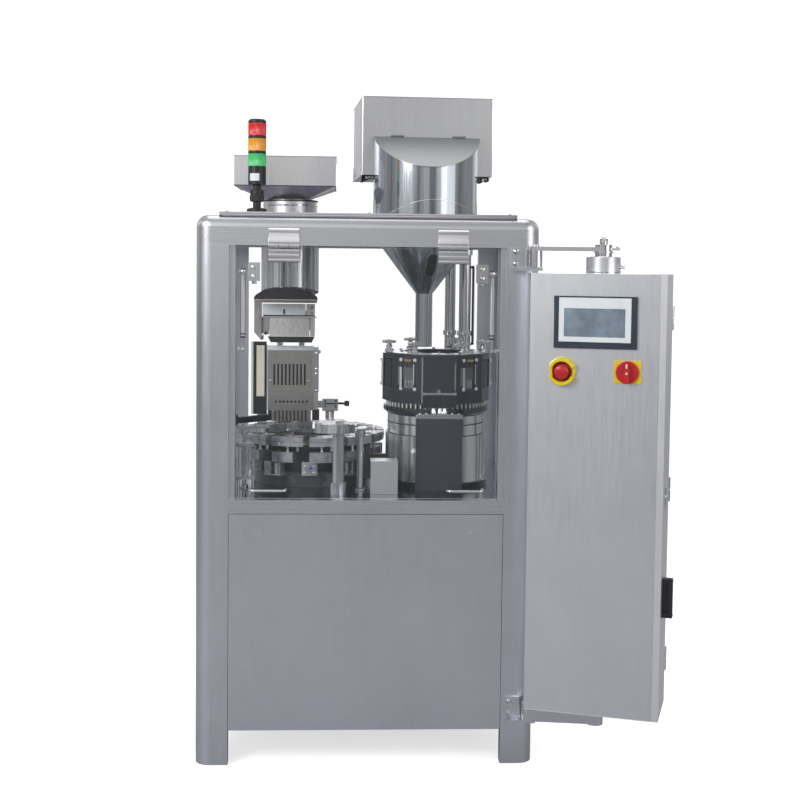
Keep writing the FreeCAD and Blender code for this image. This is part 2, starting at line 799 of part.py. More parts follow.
def dosing_base():
    """The fixed polished drum under the dosing bowl, on a black ring's step."""
    outline = [
        ("shaft_hole", "table_top"), ("dosing_radius + 4", "table_top"),
        ("dosing_radius + 4", "table_top + 16"),
        ("dosing_radius", "table_top + 18"), ("dosing_radius", "968"), ("shaft_hole", "968"),
    ]
    return place(turn(outline), DOSING)


def dosing_bowl():
    """The indexing dosing bowl with its shaft, drum, flared platen and powder well."""
    outline = [
        ("0", "shaft_foot"), ("shaft_radius", "shaft_foot"),
        ("shaft_radius", "969"), ("bowl_radius", "969"),
        ("bowl_radius", "1002"), ("bowl_radius - 3", "1003"),
        ("bowl_radius - 3", "1006"), ("bowl_radius", "1007"),
        ("bowl_radius", "1030"), ("platen_radius", "1042"), ("platen_radius", "platen_top"),
        ("platen_radius - 8", "platen_top"), ("platen_radius - 10", "1034"), ("0", "1034"),
    ]
    return place(turn(outline), DOSING)


def facet_pocket(facet):
    """The window recess in one facet of the tamping head."""
    item = doc.addObject("Part::Box", "pocket")
    bind(item, Length="58", Width="32", Height="92")
    turned = Rotation(Vector(0, 0, 1), 36 * facet)
    start = turned.multVec(Vector(-29, -170, 0))
    item.Placement = Placement(start, turned)
    corner = (f"dosing_right + {start.x:.3f}", f"-dosing_front + {start.y:.3f}", "head_foot + 46")
    return place(item, corner)


def tamping_head():
    """The ten-sided housing that carries the tamping pins, with windows in eight facets."""
    prism = doc.addObject("Part::Prism", "facets")
    prism.Polygon = 10
    bind(prism, Circumradius="head_radius", Height="head_top - head_foot")
    place(prism, ("dosing_right", "-dosing_front", "head_foot"))
    bore = cylinder("head_bore", "head_top", ("dosing_right", "-dosing_front", "head_foot - 10"))
    pockets = [facet_pocket(facet) for facet in range(1, 10) if facet != 5]
    plate = cylinder("head_radius - 10", "4", ("dosing_right", "-dosing_front", "head_top"))
    plate_bore = cylinder("head_bore", "12", ("dosing_right", "-dosing_front", "head_top - 4"))
    return fuse(cut(prism, bore, *pockets), cut(plate, plate_bore))


def tamping_pins():
    """The ring of steel tamping pins under the head, in ten groups."""
    pin = new_body()
    sketch = pin.newObject("Sketcher::SketchObject", "outline")
    plane = next(feature for feature in pin.Origin.OriginFeatures if feature.Role == "XY_Plane")
    sketch.AttachmentSupport = [(plane, "")]
    sketch.MapMode = "FlatFace"
    middle = Vector(evaluate("pin_circle"), 0, 0)
    sketch.addGeometry(Part.Circle(middle, Vector(0, 0, 1), evaluate("pin_radius")))
    sketch.addConstraint(Sketcher.Constraint("PointOnObject", 0, 3, -1))
    for kind, refs, text in (("DistanceX", (-1, 1, 0, 3), "pin_circle"), ("Radius", (0,), "pin_radius")):
        number = sketch.addConstraint(Sketcher.Constraint(kind, *refs, evaluate(text)))
        sketch.setExpression(f"Constraints[{number}]", bound(text))
    feature = pin.newObject("PartDesign::Pad", "pad")
    feature.Profile = sketch
    bind(feature, Length="head_foot - 1038")
    around(pin, "60")
    return place(pin, ("dosing_right", "-dosing_front", "1038"))


def tamping_knobs():
    """Six clamp knobs on studs on top of the tamping head."""
    knobs = []
    for k in range(6):
        turned = Rotation(Vector(0, 0, 1), 60 * k).multVec(Vector(evaluate("knob_circle"), 0, 0))
        x = f"dosing_right + {turned.x:.3f}"
        y = f"-dosing_front + {turned.y:.3f}"
        stud = cylinder("6", "28", (x, y, "head_top + 4"))
        cap = cylinder("21", "9", (x, y, "head_top + 32"))
        nut = cylinder("12", "9", (x, y, "head_top + 4"))
        knobs.append(fuse(stud, cap, nut))
    return group(*knobs)


def head_columns():
    """The two steel columns behind the dosing station, from the table to the roof."""
    return group(
        cylinder("18", "frame_top - table_top", ("291", "160", "table_top")),
        cylinder("20", "frame_top - table_top", ("338", "124", "table_top")),
    )


def dosing_cover():
    """The black front cover of the dosing drum, folded round its edges."""
    outer = box(
        ("cover_width", "14", "cover_top - table_top"), ("cover_left", "-cover_front", "table_top")
    )
    inner = box(
        ("cover_width - 6", "14", "cover_top - table_top - 6"),
        ("cover_left + 3", "3 - cover_front", "table_top + 3"),
    )
    return cut(outer, inner)


# ---------------------------------------------------------------- powder feed

HOPPER = ("hopper_right", "-hopper_front", "0")


SLOPE = "atan((hopper_high - hopper_low)/(hopper_radius - box_setback))"


def rim_slab(thick, back, drop):
    """A slab along the hopper's oblique front rim, which slopes down towards the front."""
    return tilted_box(
        ("2.4*hopper_radius", "2*hopper_radius", thick),
        ("-1.2*hopper_radius", f"-box_setback - {back} - 2*hopper_radius*cos({SLOPE})",
         f"hopper_high - {drop} - 2*hopper_radius*sin({SLOPE})"),
        SLOPE,
    )


def powder_hopper():
    """A drum with an oblique front rim, a cone and a long spout, turned with the feed head."""
    outline = [
        ("spout_radius - hopper_wall", "hopper_spout"), ("spout_radius", "hopper_spout"),
        ("spout_radius", "hopper_neck"),
        ("hopper_radius", "hopper_shoulder"), ("hopper_radius", "hopper_high"),
        ("hopper_radius - hopper_wall", "hopper_high"), ("hopper_radius - hopper_wall", "hopper_shoulder"),
        ("spout_radius - hopper_wall", "hopper_neck"),
    ]
    shell = turn(outline)
    rear = box(
        ("2.4*hopper_radius", "2*hopper_radius", "400"),
        ("-1.2*hopper_radius", "-box_setback - 0.5", "box_foot - 0.5"),
    )
    front = rim_slab("400", "0", "0")
    collar = cylinder("hopper_radius + 12", "4", ("0", "0", "frame_top + roof_thick"))
    collar_bore = cylinder("hopper_radius - 1", "12", ("0", "0", "frame_top + roof_thick - 4"))
    return place(group(fuse(cut(shell, rear, front), cut(collar, collar_bore))), HOPPER, "feed_yaw")


def hopper_lid():
    """The half-round lid on the oblique rim, with two hinge barrels along its straight edge."""
    disc = cylinder("hopper_radius + 6", "500", ("0", "0", "hopper_low - 200"))
    slab = rim_slab("2", "6", "2.6")
    barrels = [
        cylinder("4", "42", (x, "-box_setback - 5", "hopper_high + 2"), "x") for x in ("-116", "84")
    ]
    return place(group(fuse(common(slab, disc), *barrels)), HOPPER, "feed_yaw")


def powder_agitator():
    """The stirrer in the powder hopper: shaft, cross arms and paddles."""
    shaft = cylinder("8", "box_foot - 0.5 - hopper_spout - 30", ("0", "0", "hopper_spout + 30"))
    arms = [box(("220", "10", "10"), ("-110", "-5", z)) for z in ("1640", "1720")]
    paddles = [box(("12", "10", "90"), (x, "-5", "1640")) for x in ("-118", "106")]
    flights = [cylinder("20", "3", ("0", "0", f"hopper_spout + 40 + {28 * k}")) for k in range(6)]
    return place(group(fuse(shaft, *arms, *paddles, *flights)), HOPPER, "feed_yaw")


def feed_drive_box():
    """The sheet cover of the feed drive, behind the lid and over the rear of the hopper."""
    outer = box(
        ("box_width", "box_depth", "box_top - box_foot"), ("-box_width/2 + 4", "-box_setback", "box_foot")
    )
    inner = box(
        ("box_width - 2*sheet", "box_depth - 2*sheet", "box_top - box_foot - 2*sheet"),
        ("-box_width/2 + 4 + sheet", "-box_setback + sheet", "box_foot + sheet"),
    )
    leg = box(
        ("60", "60", "box_foot - frame_top - roof_thick"),
        ("-30", "box_depth - box_setback - 90", "frame_top + roof_thick"),
    )
    return place(group(fuse(cut(outer, inner), leg)), HOPPER, "feed_yaw")


# ---------------------------------------------------------------- drive under the table

BASE_TOP = "(panel_bottom + base_thick)"


def drive_motor():
    """The gear motor: gearbox on the base plate and motor behind it."""
    gearbox = box(("74", "150", "cam_axis + 70 - " + BASE_TOP), ("388", "-75", BASE_TOP))
    motor = cylinder("62", "200", ("425", "75", "cam_axis - 60"), "y")
    fan = cylinder("66", "40", ("425", "275", "cam_axis - 60"), "y")
    bore = cylinder("cam_shaft + running_gap", "60", ("380", "0", "cam_axis"), "x")
    return cut(fuse(gearbox, motor, fan), bore)


def camshaft():
    """The main shaft with five cams."""
    shaft = cylinder("cam_shaft", "820", ("-400", "0", "cam_axis"), "x")
    cams = []
    for k, x in enumerate(("-230", "-120", "-10", "100", "210")):
        turned = Rotation(Vector(1, 0, 0), 72 * k).multVec(Vector(0, evaluate("cam_throw"), 0))
        at = (x, f"{turned.y:.3f}", f"cam_axis + {turned.z:.3f}")
        cams.append(cylinder("cam_radius", "26", at, "x"))
    return fuse(shaft, *cams)


def shaft_supports():
    """Two pedestals with the main shaft's bearings."""
    pedestals = []
    for x in ("-340", "290"):
        block = box(("50", "120", "cam_axis + 50 - " + BASE_TOP), (x, "-60", BASE_TOP))
        bore = cylinder("cam_shaft + running_gap", "80", (f"{x} - 15", "0", "cam_axis"), "x")
        pedestals.append(cut(block, bore))
    return group(*pedestals)


def index_boxes():
    """Two indexing boxes that hang under the table, one for each turning station."""
    boxes = []
    for x, y in (("-turret_left", "-turret_front"), ("dosing_right", "-dosing_front")):
        block = box(
            ("index_side", "index_side", "table_top - table_thick - index_foot"),
            (f"{x} - index_side/2", f"{y} - index_side/2", "index_foot"),
        )
        bore = cylinder("shaft_radius + running_gap", "300", (x, y, "shaft_foot - 2"))
        boxes.append(cut(block, bore))
    return group(*boxes)


def vacuum_pump():
    """The vacuum pump on the base plate, with its motor and filter pot."""
    foot = box(("300", "130", "20"), ("-400", "200", BASE_TOP))
    pump = cylinder("70", "120", ("-400", "265", BASE_TOP + " + 85"), "x")
    motor = cylinder("60", "160", ("-280", "265", BASE_TOP + " + 85"), "x")
    pedestal = box(("260", "60", "30"), ("-390", "235", BASE_TOP))
    pot = cylinder("36", "130", ("-340", "265", BASE_TOP + " + 120"))
    return fuse(foot, pump, motor, pedestal, pot)


# ---------------------------------------------------------------- control cabinet

CABINET = ("arm_right + arm_length*cos(arm_yaw)", "-arm_front + arm_length*sin(arm_yaw)", "0")
FACE = "-cabinet_depth/2"


def on_cabinet(item):
    """Turn a piece drawn about the cabinet's own axis into the cabinet's pose."""
    return place(group(item), CABINET, "cabinet_yaw")


def cabinet_shell():
    """The cabinet's sheet shell, open at its right side, with a boss above and below."""
    width = "cabinet_width - side_thick - 0.5"
    height = "cabinet_top - cabinet_foot"
    outer = box((width, "cabinet_depth", height), ("-cabinet_width/2", FACE, "cabinet_foot"))
    inner = box(
        (width, "cabinet_depth - 2*sheet", f"{height} - 2*sheet"),
        ("-cabinet_width/2 + sheet", f"{FACE} + sheet", "cabinet_foot + sheet"),
    )
    top_boss = cylinder("50", "48", ("0", "0", "cabinet_top"))
    low_boss = cylinder("40", "16", ("0", "0", "cabinet_foot - 16"))
    bores = [
        cylinder("12 + running_gap", "40", ("0", "0", "cabinet_top + 20")),
        cylinder("12 + running_gap", "12", ("0", "0", "cabinet_foot - 18")),
    ]
    return on_cabinet(cut(fuse(cut(outer, inner), top_boss, low_boss), *bores))


def cabinet_side_door():
    """The folded door that closes the cabinet's right side."""
    outer = box(
        ("side_thick", "cabinet_depth", "cabinet_top - cabinet_foot"),
        ("cabinet_width/2 - side_thick", FACE, "cabinet_foot"),
    )
    inner = box(
        ("side_thick", "cabinet_depth - 2*sheet", "cabinet_top - cabinet_foot - 2*sheet"),
        ("cabinet_width/2 - side_thick - sheet", f"{FACE} + sheet", "cabinet_foot + sheet"),
    )
    return on_cabinet(cut(outer, inner))


def cabinet_handle():
    """The black bow handle on the cabinet's side door."""
    outer = box(("30", "22", "114"), ("cabinet_width/2", "-60", "497"))
    finger = box(("18", "40", "82"), ("cabinet_width/2 - 0.1", "-70", "513"))
    return on_cabinet(cut(outer, finger))


def operator_panel():
    """The touch panel: bezel with a shallow screen recess."""
    bezel = box(("238", "8", "149"), ("-125", f"{FACE} - 8", "1274"))
    recess = box(("178", "4", "79"), ("-97", f"{FACE} - 10", "1309"))
    return on_cabinet(cut(bezel, recess))


def yellow_surrounds():
    """The stop button's guard and the main switch's square plate."""
    guard = box(("80", "26", "80"), ("-138", f"{FACE} - 26", "1166"))
    guard_bore = cylinder("26", "60", ("-98", f"{FACE} - 40", "1206"), "y")
    plate = box(("78", "6", "66"), ("49", f"{FACE} - 6", "1176"))
    plate_bore = cylinder("9", "20", ("88", f"{FACE} - 10", "1209"), "y")
    return on_cabinet(group(cut(guard, guard_bore), cut(plate, plate_bore)))


def stop_button():
    """The red mushroom button on its stem."""
    cap = cylinder("20", "14", ("-98", f"{FACE} - 34", "1206"), "y")
    stem = cylinder("9", "13", ("-98", f"{FACE} - 20", "1206"), "y")
    return on_cabinet(fuse(cap, stem))


def switch_knob():
    """The main switch's red rotary knob, with a grip bar and spindle."""
    disc = cylinder("33", "8", ("88", f"{FACE} - 14.5", "1209"), "y")
    grip = box(("14", "18", "60"), ("81", f"{FACE} - 32", "1179"))
    spindle = cylinder("8", "6", ("88", f"{FACE} - 7", "1209"), "y")
    return on_cabinet(fuse(disc, grip, spindle))


def swing_arm(low, thick, barrel_low, barrel_height, hub_low, hub_height, pin_low, pin_height):
    """One arm, drawn from its hinge barrel along +X to the cabinet's axis."""
    bar = box(("arm_length", "arm_width", thick), ("0", "-arm_width/2", low))
    barrel = cylinder("20", barrel_height, ("0", "0", barrel_low))
    hub = cylinder("25", hub_height, ("arm_length", "0", hub_low))
    pin = cylinder("12", pin_height, ("arm_length", "0", pin_low))
    bore = cylinder("10 + running_gap", "200", ("0", "0", f"{barrel_low} - 20"))
    return cut(fuse(bar, barrel, hub, pin), bore)


def swing_arms():
    """The upper and lower arms that carry the cabinet."""
    upper = swing_arm("1553", "12", "1505", "60", "1536.5", "36", "1510", "70")
    lower = swing_arm("150", "35", "150", "50", "145", "40.5", "150", "46")
    return place(group(upper, lower), ("arm_right", "-arm_front", "0"), "arm_yaw")


def post_brackets():
    """Two brackets on the right front post, each with a lug and the pin of an arm."""
    brackets = []
    for low, lug_low, pin_height in (("1501", "1494", "78"), ("146", "139", "58")):
        plate = box(("46", "10", "62"), ("420", "-frame_depth/2 - 10", low))
        lug = box(("80", "40", "10"), ("430", "-frame_depth/2 - 45", lug_low))
        riser = box(("40", "10", "12"), ("430", "-frame_depth/2 - 10", lug_low))
        pin = cylinder("10", pin_height, ("arm_right", "-arm_front", lug_low))
        brackets.append(fuse(plate, lug, riser, pin))
    return group(*brackets)


def build():
    """Make every sub-part in the order of assembly."""
    for make in (
        frame_posts, top_frame, table_rails, roof_plate, table_plate, front_rear_panels, side_panels,
        window_panes, socket_screws, door_pane, strut_rods, strut_cylinders, strut_door_clamps,
        tower_housing, capsule_hopper, feed_tube, capsule_chute, magazine_block, magazine_plate,
        magazine_support, adjuster_block, adjuster_knob, turret_base, turret_drum, closing_station,
        discharge_chute, dosing_base, dosing_bowl, tamping_head, tamping_pins, tamping_knobs,
        head_columns, dosing_cover, powder_hopper, hopper_lid, powder_agitator, feed_drive_box,
        drive_motor, camshaft, shaft_supports, index_boxes, vacuum_pump, cabinet_shell,
        cabinet_side_door, cabinet_handle, operator_panel, yellow_surrounds, stop_button, switch_knob,
        swing_arms, post_brackets,
    ):
        node(make.__name__, make())
    node("base_plate", deck(BASE_TOP, "base_thick"))
    node("door_handles", group(door_handle("-handle_offset"), door_handle("handle_offset")))
    node("hinge_frame_leaves", hinge_leaves(on_door=False))
    node("hinge_door_leaves", hinge_leaves(on_door=True))
    for index, colour in enumerate(("green", "amber", "red")):
        node(f"{colour}_lens", lens(index))
    upper = segments("segment_inner", "segment_outer", "segment_top - 27", "segment_top", "segment_sweep")
    lower = segments(
        "turret_radius + 0.5", "segment_outer - 4",
        "segment_top - 78", "segment_top - 46", "segment_sweep - 8",
    )
    node("upper_segments", upper)
    node("lower_segments", lower)


def check():
    """Stop at any object that failed, and at any sub-part without valid solids."""
    for item in doc.Objects:
        if {"Invalid", "Error"} & set(item.State):
            raise RuntimeError(f"{item.Name} {item.Label} {item.State} {item.getStatusString()}")
    for item in NODES:
        if item.Shape.isNull() or not item.Shape.isValid() or not item.Shape.Solids:
            raise RuntimeError(f"{item.Label} has no valid solid")


build()
doc.recompute()
check()
os.makedirs("parts", exist_ok=True)
for item in NODES:
    item.Shape.exportStep(f"parts/{item.Label}.step")
    print(f"{item.Label:20s} {len(item.Shape.Solids):3d} solids {item.Shape.Volume / 1000:10.1f} cm3")
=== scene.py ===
"""Automatic capsule filling machine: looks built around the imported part.

Everything is in metres in the row frame. Detail pieces are drawn in millimetres, in a local
frame that starts from a corner or the centre of a CAD node's box.
"""
import json
import math

import bmesh
import bpy
from mathutils import Matrix, Vector


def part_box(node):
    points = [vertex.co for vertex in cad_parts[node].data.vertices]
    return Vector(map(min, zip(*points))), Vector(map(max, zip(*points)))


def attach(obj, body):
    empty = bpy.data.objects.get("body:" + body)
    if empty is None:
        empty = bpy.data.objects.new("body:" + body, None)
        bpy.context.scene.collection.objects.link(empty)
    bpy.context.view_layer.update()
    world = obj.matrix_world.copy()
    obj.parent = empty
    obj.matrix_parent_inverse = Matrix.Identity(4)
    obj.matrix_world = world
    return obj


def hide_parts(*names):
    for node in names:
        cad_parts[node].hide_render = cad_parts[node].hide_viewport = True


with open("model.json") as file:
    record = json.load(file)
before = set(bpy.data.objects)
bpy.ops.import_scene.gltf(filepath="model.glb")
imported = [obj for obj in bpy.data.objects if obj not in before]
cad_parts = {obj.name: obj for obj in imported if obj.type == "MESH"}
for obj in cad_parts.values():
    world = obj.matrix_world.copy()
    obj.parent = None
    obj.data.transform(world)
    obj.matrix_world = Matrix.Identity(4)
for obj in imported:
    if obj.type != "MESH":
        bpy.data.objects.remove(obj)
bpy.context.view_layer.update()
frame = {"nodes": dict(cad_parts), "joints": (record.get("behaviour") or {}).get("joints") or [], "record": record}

MM = 0.001


# ---------------------------------------------------------------- materials

def new_material(name, **sockets):
    """A material with one Principled shader whose constant sockets are set here."""
    material = bpy.data.materials.new(name)
    material.use_nodes = True
    nodes = material.node_tree.nodes
    nodes.clear()
    out = nodes.new("ShaderNodeOutputMaterial")
    shader = nodes.new("ShaderNodeBsdfPrincipled")
    material.node_tree.links.new(shader.outputs[0], out.inputs[0])
    for socket, value in sockets.items():
        shader.inputs[socket.replace("_", " ")].default_value = value
    return material, material.node_tree, shader


def noise(tree, scale, stretch=(1, 1, 1), detail=4.0, rough=0.55):
    """Noise over the object's own coordinates, in metres, stretched along an axis for brushed grain."""
    coords = tree.nodes.new("ShaderNodeTexCoord")
    mapping = tree.nodes.new("ShaderNodeMapping")
    mapping.inputs["Scale"].default_value = stretch
    texture = tree.nodes.new("ShaderNodeTexNoise")
    texture.inputs["Scale"].default_value = scale
    texture.inputs["Detail"].default_value = detail
    texture.inputs["Roughness"].default_value = rough
    tree.links.new(coords.outputs["Object"], mapping.inputs["Vector"])
    tree.links.new(mapping.outputs[0], texture.inputs["Vector"])
    return texture.outputs["Fac"]


def spread(tree, value, low, high, start=0.3, end=0.7):
    """Stretch a 0 to 1 value to a wanted range."""
    node = tree.nodes.new("ShaderNodeMapRange")
    node.inputs["From Min"].default_value = start
    node.inputs["From Max"].default_value = end
    node.inputs["To Min"].default_value = low
    node.inputs["To Max"].default_value = high
    tree.links.new(value, node.inputs["Value"])
    return node.outputs[0]


def blend_colours(tree, factor, one, two):
    """Mix two colours; either may be a socket."""
    node = tree.nodes.new("ShaderNodeMix")
    node.data_type = "RGBA"
    for index, value in ((6, one), (7, two)):
        if isinstance(value, tuple):
            node.inputs[index].default_value = (*value, 1)
        else:
            tree.links.new(value, node.inputs[index])
    tree.links.new(factor, node.inputs[0])
    return node.outputs[2]


def worn_edges(tree, radius):
    """1 on convex and concave edges, 0 on flat faces."""
    bevel = tree.nodes.new("ShaderNodeBevel")
    bevel.samples = 3
    bevel.inputs["Radius"].default_value = radius
    geometry = tree.nodes.new("ShaderNodeNewGeometry")
    dot = tree.nodes.new("ShaderNodeVectorMath")
    dot.operation = "DOT_PRODUCT"
    tree.links.new(bevel.outputs[0], dot.inputs[0])
    tree.links.new(geometry.outputs["Normal"], dot.inputs[1])
    return spread(tree, dot.outputs["Value"], 1.0, 0.0, 0.93, 0.995)


def add_bump(tree, shader, height, distance, strength=0.35):
    bump = tree.nodes.new("ShaderNodeBump")
    bump.inputs["Distance"].default_value = distance
    bump.inputs["Strength"].default_value = strength
    tree.links.new(height, bump.inputs["Height"])
    tree.links.new(bump.outputs[0], shader.inputs["Normal"])


def shade(colour, factor):
    return tuple(min(1.0, c * factor) for c in colour)


def metal(
    name, colour, rough, grain=(1, 1, 1), fine=900.0, tone=0.07, wear=0.0012, bump=0.00004,
    vary=0.05, broad=4.5, streak=(1, 1, 1), metallic=1.0, soft=0.2,
):
    """Metal with stretched grain, cloudy tone changes and brighter rubbed edges; a strong tone with upright
    streaks paints light and dark reflection stripes.
    """
    material, tree, shader = new_material(name, Metallic=metallic)
    lines = noise(tree, fine, grain, 3.0)
    # Cloudy tone at random; in the strongly streaked polished looks below these clouds are painted reflection
    # stripes.
    clouds = noise(tree, broad, streak, 4.0, 0.6)
    base = blend_colours(
        tree, spread(tree, clouds, 0, 1, 0.5 - soft, 0.5 + soft),
        shade(colour, 1 - tone), shade(colour, 1 + tone),
    )
    lined = blend_colours(tree, spread(tree, lines, 0, 0.5), base, shade(colour, 1.12))
    if wear:
        lined = blend_colours(tree, worn_edges(tree, wear), lined, shade(colour, 1.35))
    tree.links.new(lined, shader.inputs["Base Color"])
    tree.links.new(spread(tree, lines, max(0.03, rough - vary), rough + vary), shader.inputs["Roughness"])
    add_bump(tree, shader, lines, bump)
    return material


def plastic(name, colour, rough, grain=1400.0, tone=0.12, wear=0.0008, bump=0.00008, coat=0.0):
    """Moulded or painted surface with a fine texture, uneven gloss and paler edges."""
    material, tree, shader = new_material(name, Metallic=0.0, Coat_Weight=coat, Coat_Roughness=0.12)
    pores = noise(tree, grain, (1, 1, 1), 2.0)
    clouds = noise(tree, 14.0, (1, 1, 1), 4.0, 0.6)
    base = blend_colours(
        tree, spread(tree, clouds, 0, 1), shade(colour, 1 - tone), shade(colour, 1 + tone)
    )
    if wear:
        pale = tuple(c * 0.75 + 0.09 for c in colour)
        base = blend_colours(tree, spread(tree, worn_edges(tree, wear), 0, 0.6, 0, 1), base, pale)
    tree.links.new(base, shader.inputs["Base Color"])
    tree.links.new(spread(tree, clouds, rough - 0.06, rough + 0.08), shader.inputs["Roughness"])
    add_bump(tree, shader, pores, bump)
    return material


def clear(name, colour, alpha, rough, grain=60.0):
    """Clear or frosted acrylic with faint wipe marks."""
    material, tree, shader = new_material(name, Metallic=0.0, IOR=1.49, Specular_IOR_Level=0.8)
    marks = noise(tree, grain, (1, 1, 0.25), 5.0, 0.65)
    tree.links.new(blend_colours(tree, marks, shade(colour, 0.96), colour), shader.inputs["Base Color"])
    tree.links.new(spread(tree, marks, rough, rough + 0.08), shader.inputs["Roughness"])
    tree.links.new(spread(tree, marks, alpha * 0.8, alpha * 1.2), shader.inputs["Alpha"])
    return material


UPRIGHT = (1, 1, 0.012)
ACROSS = (0.012, 1, 1)
# name: colour, roughness, grain, fineness, tone, wear, bump,
#     gloss change, breadth of the clouds, their streak, metallic, softness
METALS = {
    "stainless": ((0.675, 0.69, 0.735), 0.33, UPRIGHT, 700.0, 0.05),
    "stainless_beam": ((0.68, 0.69, 0.715), 0.31, ACROSS, 700.0, 0.05),
    "cabinet_sheet": ((0.79, 0.80, 0.835), 0.36, UPRIGHT, 800.0, 0.04),
    "polished": ((0.68, 0.685, 0.70), 0.13, (1, 1, 0.02), 500.0, 0.06, 0.0008, 0.00001, 0.04),
    "mirror_table": ((0.25, 0.272, 0.33), 0.16, ACROSS, 400.0, 0.08, 0.0008, 0.000006, 0.03),
    "chrome": ((0.80, 0.80, 0.81), 0.09, (1, 1, 1), 260.0, 0.05, 0.0006, 0.000008, 0.03),
    "aluminium": ((0.66, 0.665, 0.67), 0.38, (1, 1, 1), 1500.0, 0.05, 0.0008),
    "tool_steel": ((0.52, 0.53, 0.56), 0.24, (1, 1, 0.1), 900.0, 0.06, 0.0006, 0.000008, 0.02),
    "anthracite": ((0.082, 0.086, 0.104), 0.34, (1, 1, 1), 1500.0, 0.15, 0.0009),
    "black_metal": ((0.035, 0.037, 0.04), 0.38, (1, 1, 1), 1500.0, 0.15, 0.0008),
    "cast": ((0.26, 0.27, 0.28), 0.55, (1, 1, 1), 350.0, 0.15, 0.001, 0.0003),
    "brass": ((0.72, 0.50, 0.20), 0.25, (1, 1, 1), 900.0, 0.08, 0.0006),
    "lid_sheet": ((0.35, 0.365, 0.365), 0.40, ACROSS, 800.0, 0.04),
    "side_sheet": ((0.97, 0.98, 1.0), 0.38, UPRIGHT, 800.0, 0.0, 0.0012, 0.00004, 0.05),
    # hopper_polish, turned_steel, drum_steel and bowl_steel: strong upright streaked tone, painted reflection
    # stripes; drum_steel is a greenish copy for the lower drum's painted reflections.
    "hopper_polish": (
        (0.42, 0.445, 0.48), 0.12, (1, 1, 0.02), 500.0, 0.50, 0.0008, 0.00001, 0.04, 22.0, (1, 1, 0.02),
        0.8, 0.12,
    ),
    "turned_steel": (
        (0.62, 0.645, 0.69), 0.14, (1, 1, 0.02), 500.0, 0.62, 0.0008, 0.00001, 0.04, 130.0,
        (1, 1, 0.004), 0.7, 0.07,
    ),
    "drum_steel": (
        (0.60, 0.63, 0.62), 0.13, (1, 1, 0.02), 500.0, 0.70, 0.0008, 0.00001, 0.04, 42.0, (1, 1, 0.01),
        0.55, 0.09,
    ),
    "bowl_steel": (
        (0.58, 0.61, 0.65), 0.12, (1, 1, 0.02), 500.0, 0.75, 0.0008, 0.00001, 0.04, 42.0, (1, 1, 0.01),
        0.6, 0.09,
    ),
    "box_sheet": ((0.70, 0.705, 0.715), 0.36, UPRIGHT, 700.0, 0.05),
    "segment_steel": (
        (0.56, 0.57, 0.61), 0.22, (1, 1, 1), 900.0, 0.30, 0.0007, 0.00001, 0.03, 24.0, (1, 1, 1), 0.72,
        0.10,
    ),
    "warm_steel": ((0.46, 0.445, 0.42), 0.30, (1, 1, 0.05), 800.0, 0.07, 0.0007),
    "pale_steel": ((0.82, 0.82, 0.80), 0.42, UPRIGHT, 800.0, 0.04, 0.0008),
    "dark_steel": ((0.10, 0.11, 0.125), 0.22, (1, 1, 1), 900.0, 0.12, 0.0009),
    "graphite_warm": ((0.085, 0.078, 0.07), 0.38, (1, 1, 1), 1500.0, 0.12, 0.0009),
    "graphite": ((0.058, 0.060, 0.072), 0.42, (1, 1, 1), 1500.0, 0.12, 0.0009),
}
# name: colour, roughness, grain, tone, wear, bump, coat
PLASTICS = {
    "black_plastic": ((0.022, 0.022, 0.025), 0.42),
    "motor_paint": ((0.10, 0.17, 0.26), 0.38, 500.0, 0.08, 0.001, 0.0002),
    "film": ((0.36, 0.33, 0.43), 0.18, 900.0, 0.15, 0.0, 0.00002, 0.4),
    "red_lens": ((0.88, 0.035, 0.035), 0.16, 900.0, 0.06, 0.0, 0.00003, 0.6),
    "amber_lens": ((1.0, 0.43, 0.03), 0.16, 900.0, 0.06, 0.0, 0.00003, 0.6),
    "green_lens": ((0.08, 0.72, 0.22), 0.16, 900.0, 0.06, 0.0, 0.00003, 0.6),
    "yellow": ((0.90, 0.70, 0.02), 0.30, 1100.0, 0.05, 0.0008, 0.00005, 0.3),
    "red": ((0.62, 0.015, 0.02), 0.26, 1100.0, 0.05, 0.0008, 0.00004, 0.4),
    "bezel": ((0.040, 0.050, 0.075), 0.30, 1400.0, 0.10, 0.0006),
    "base_grey": ((0.075, 0.076, 0.082), 0.30, 1400.0, 0.10, 0.001, 0.00003, 0.3),
    "cover_grey": ((0.042, 0.047, 0.062), 0.34, 1400.0, 0.10, 0.001, 0.00003, 0.2),
    # Near black turret drum: its own dark colour and painted shade of the magazines' shadow on the turret top.
    "drum_dark": ((0.022, 0.019, 0.018), 0.36, 1400.0, 0.12, 0.001),
    "dark": ((0.012, 0.012, 0.014), 0.5),
    "pale_plastic": ((0.90, 0.95, 0.98), 0.30, 900.0, 0.04, 0.0006, 0.00003, 0.2),
    "white_plastic": ((0.82, 0.82, 0.80), 0.35, 900.0, 0.04, 0.0005, 0.00003),
    "screen": ((0.24, 0.30, 0.37), 0.14, 40.0, 0.32, 0.0, 0.0, 0.5),
    "orange_red": ((0.62, 0.10, 0.02), 0.35, 900.0, 0.10, 0.0005, 0.00004),
    "rubber": ((0.018, 0.018, 0.02), 0.55, 1800.0, 0.2, 0.0006, 0.0001),
    # Painted shade: the dark arch in front of the feed tube.
    "shade": ((0.035, 0.022, 0.027), 0.5),
    "blue": ((0.01, 0.02, 0.42), 0.30, 900.0, 0.08, 0.0005, 0.00004),
    "cream": ((0.92, 0.85, 0.71), 0.35, 900.0, 0.05),
    "inner_grey": ((0.13, 0.135, 0.15), 0.40, 900.0, 0.08),
}
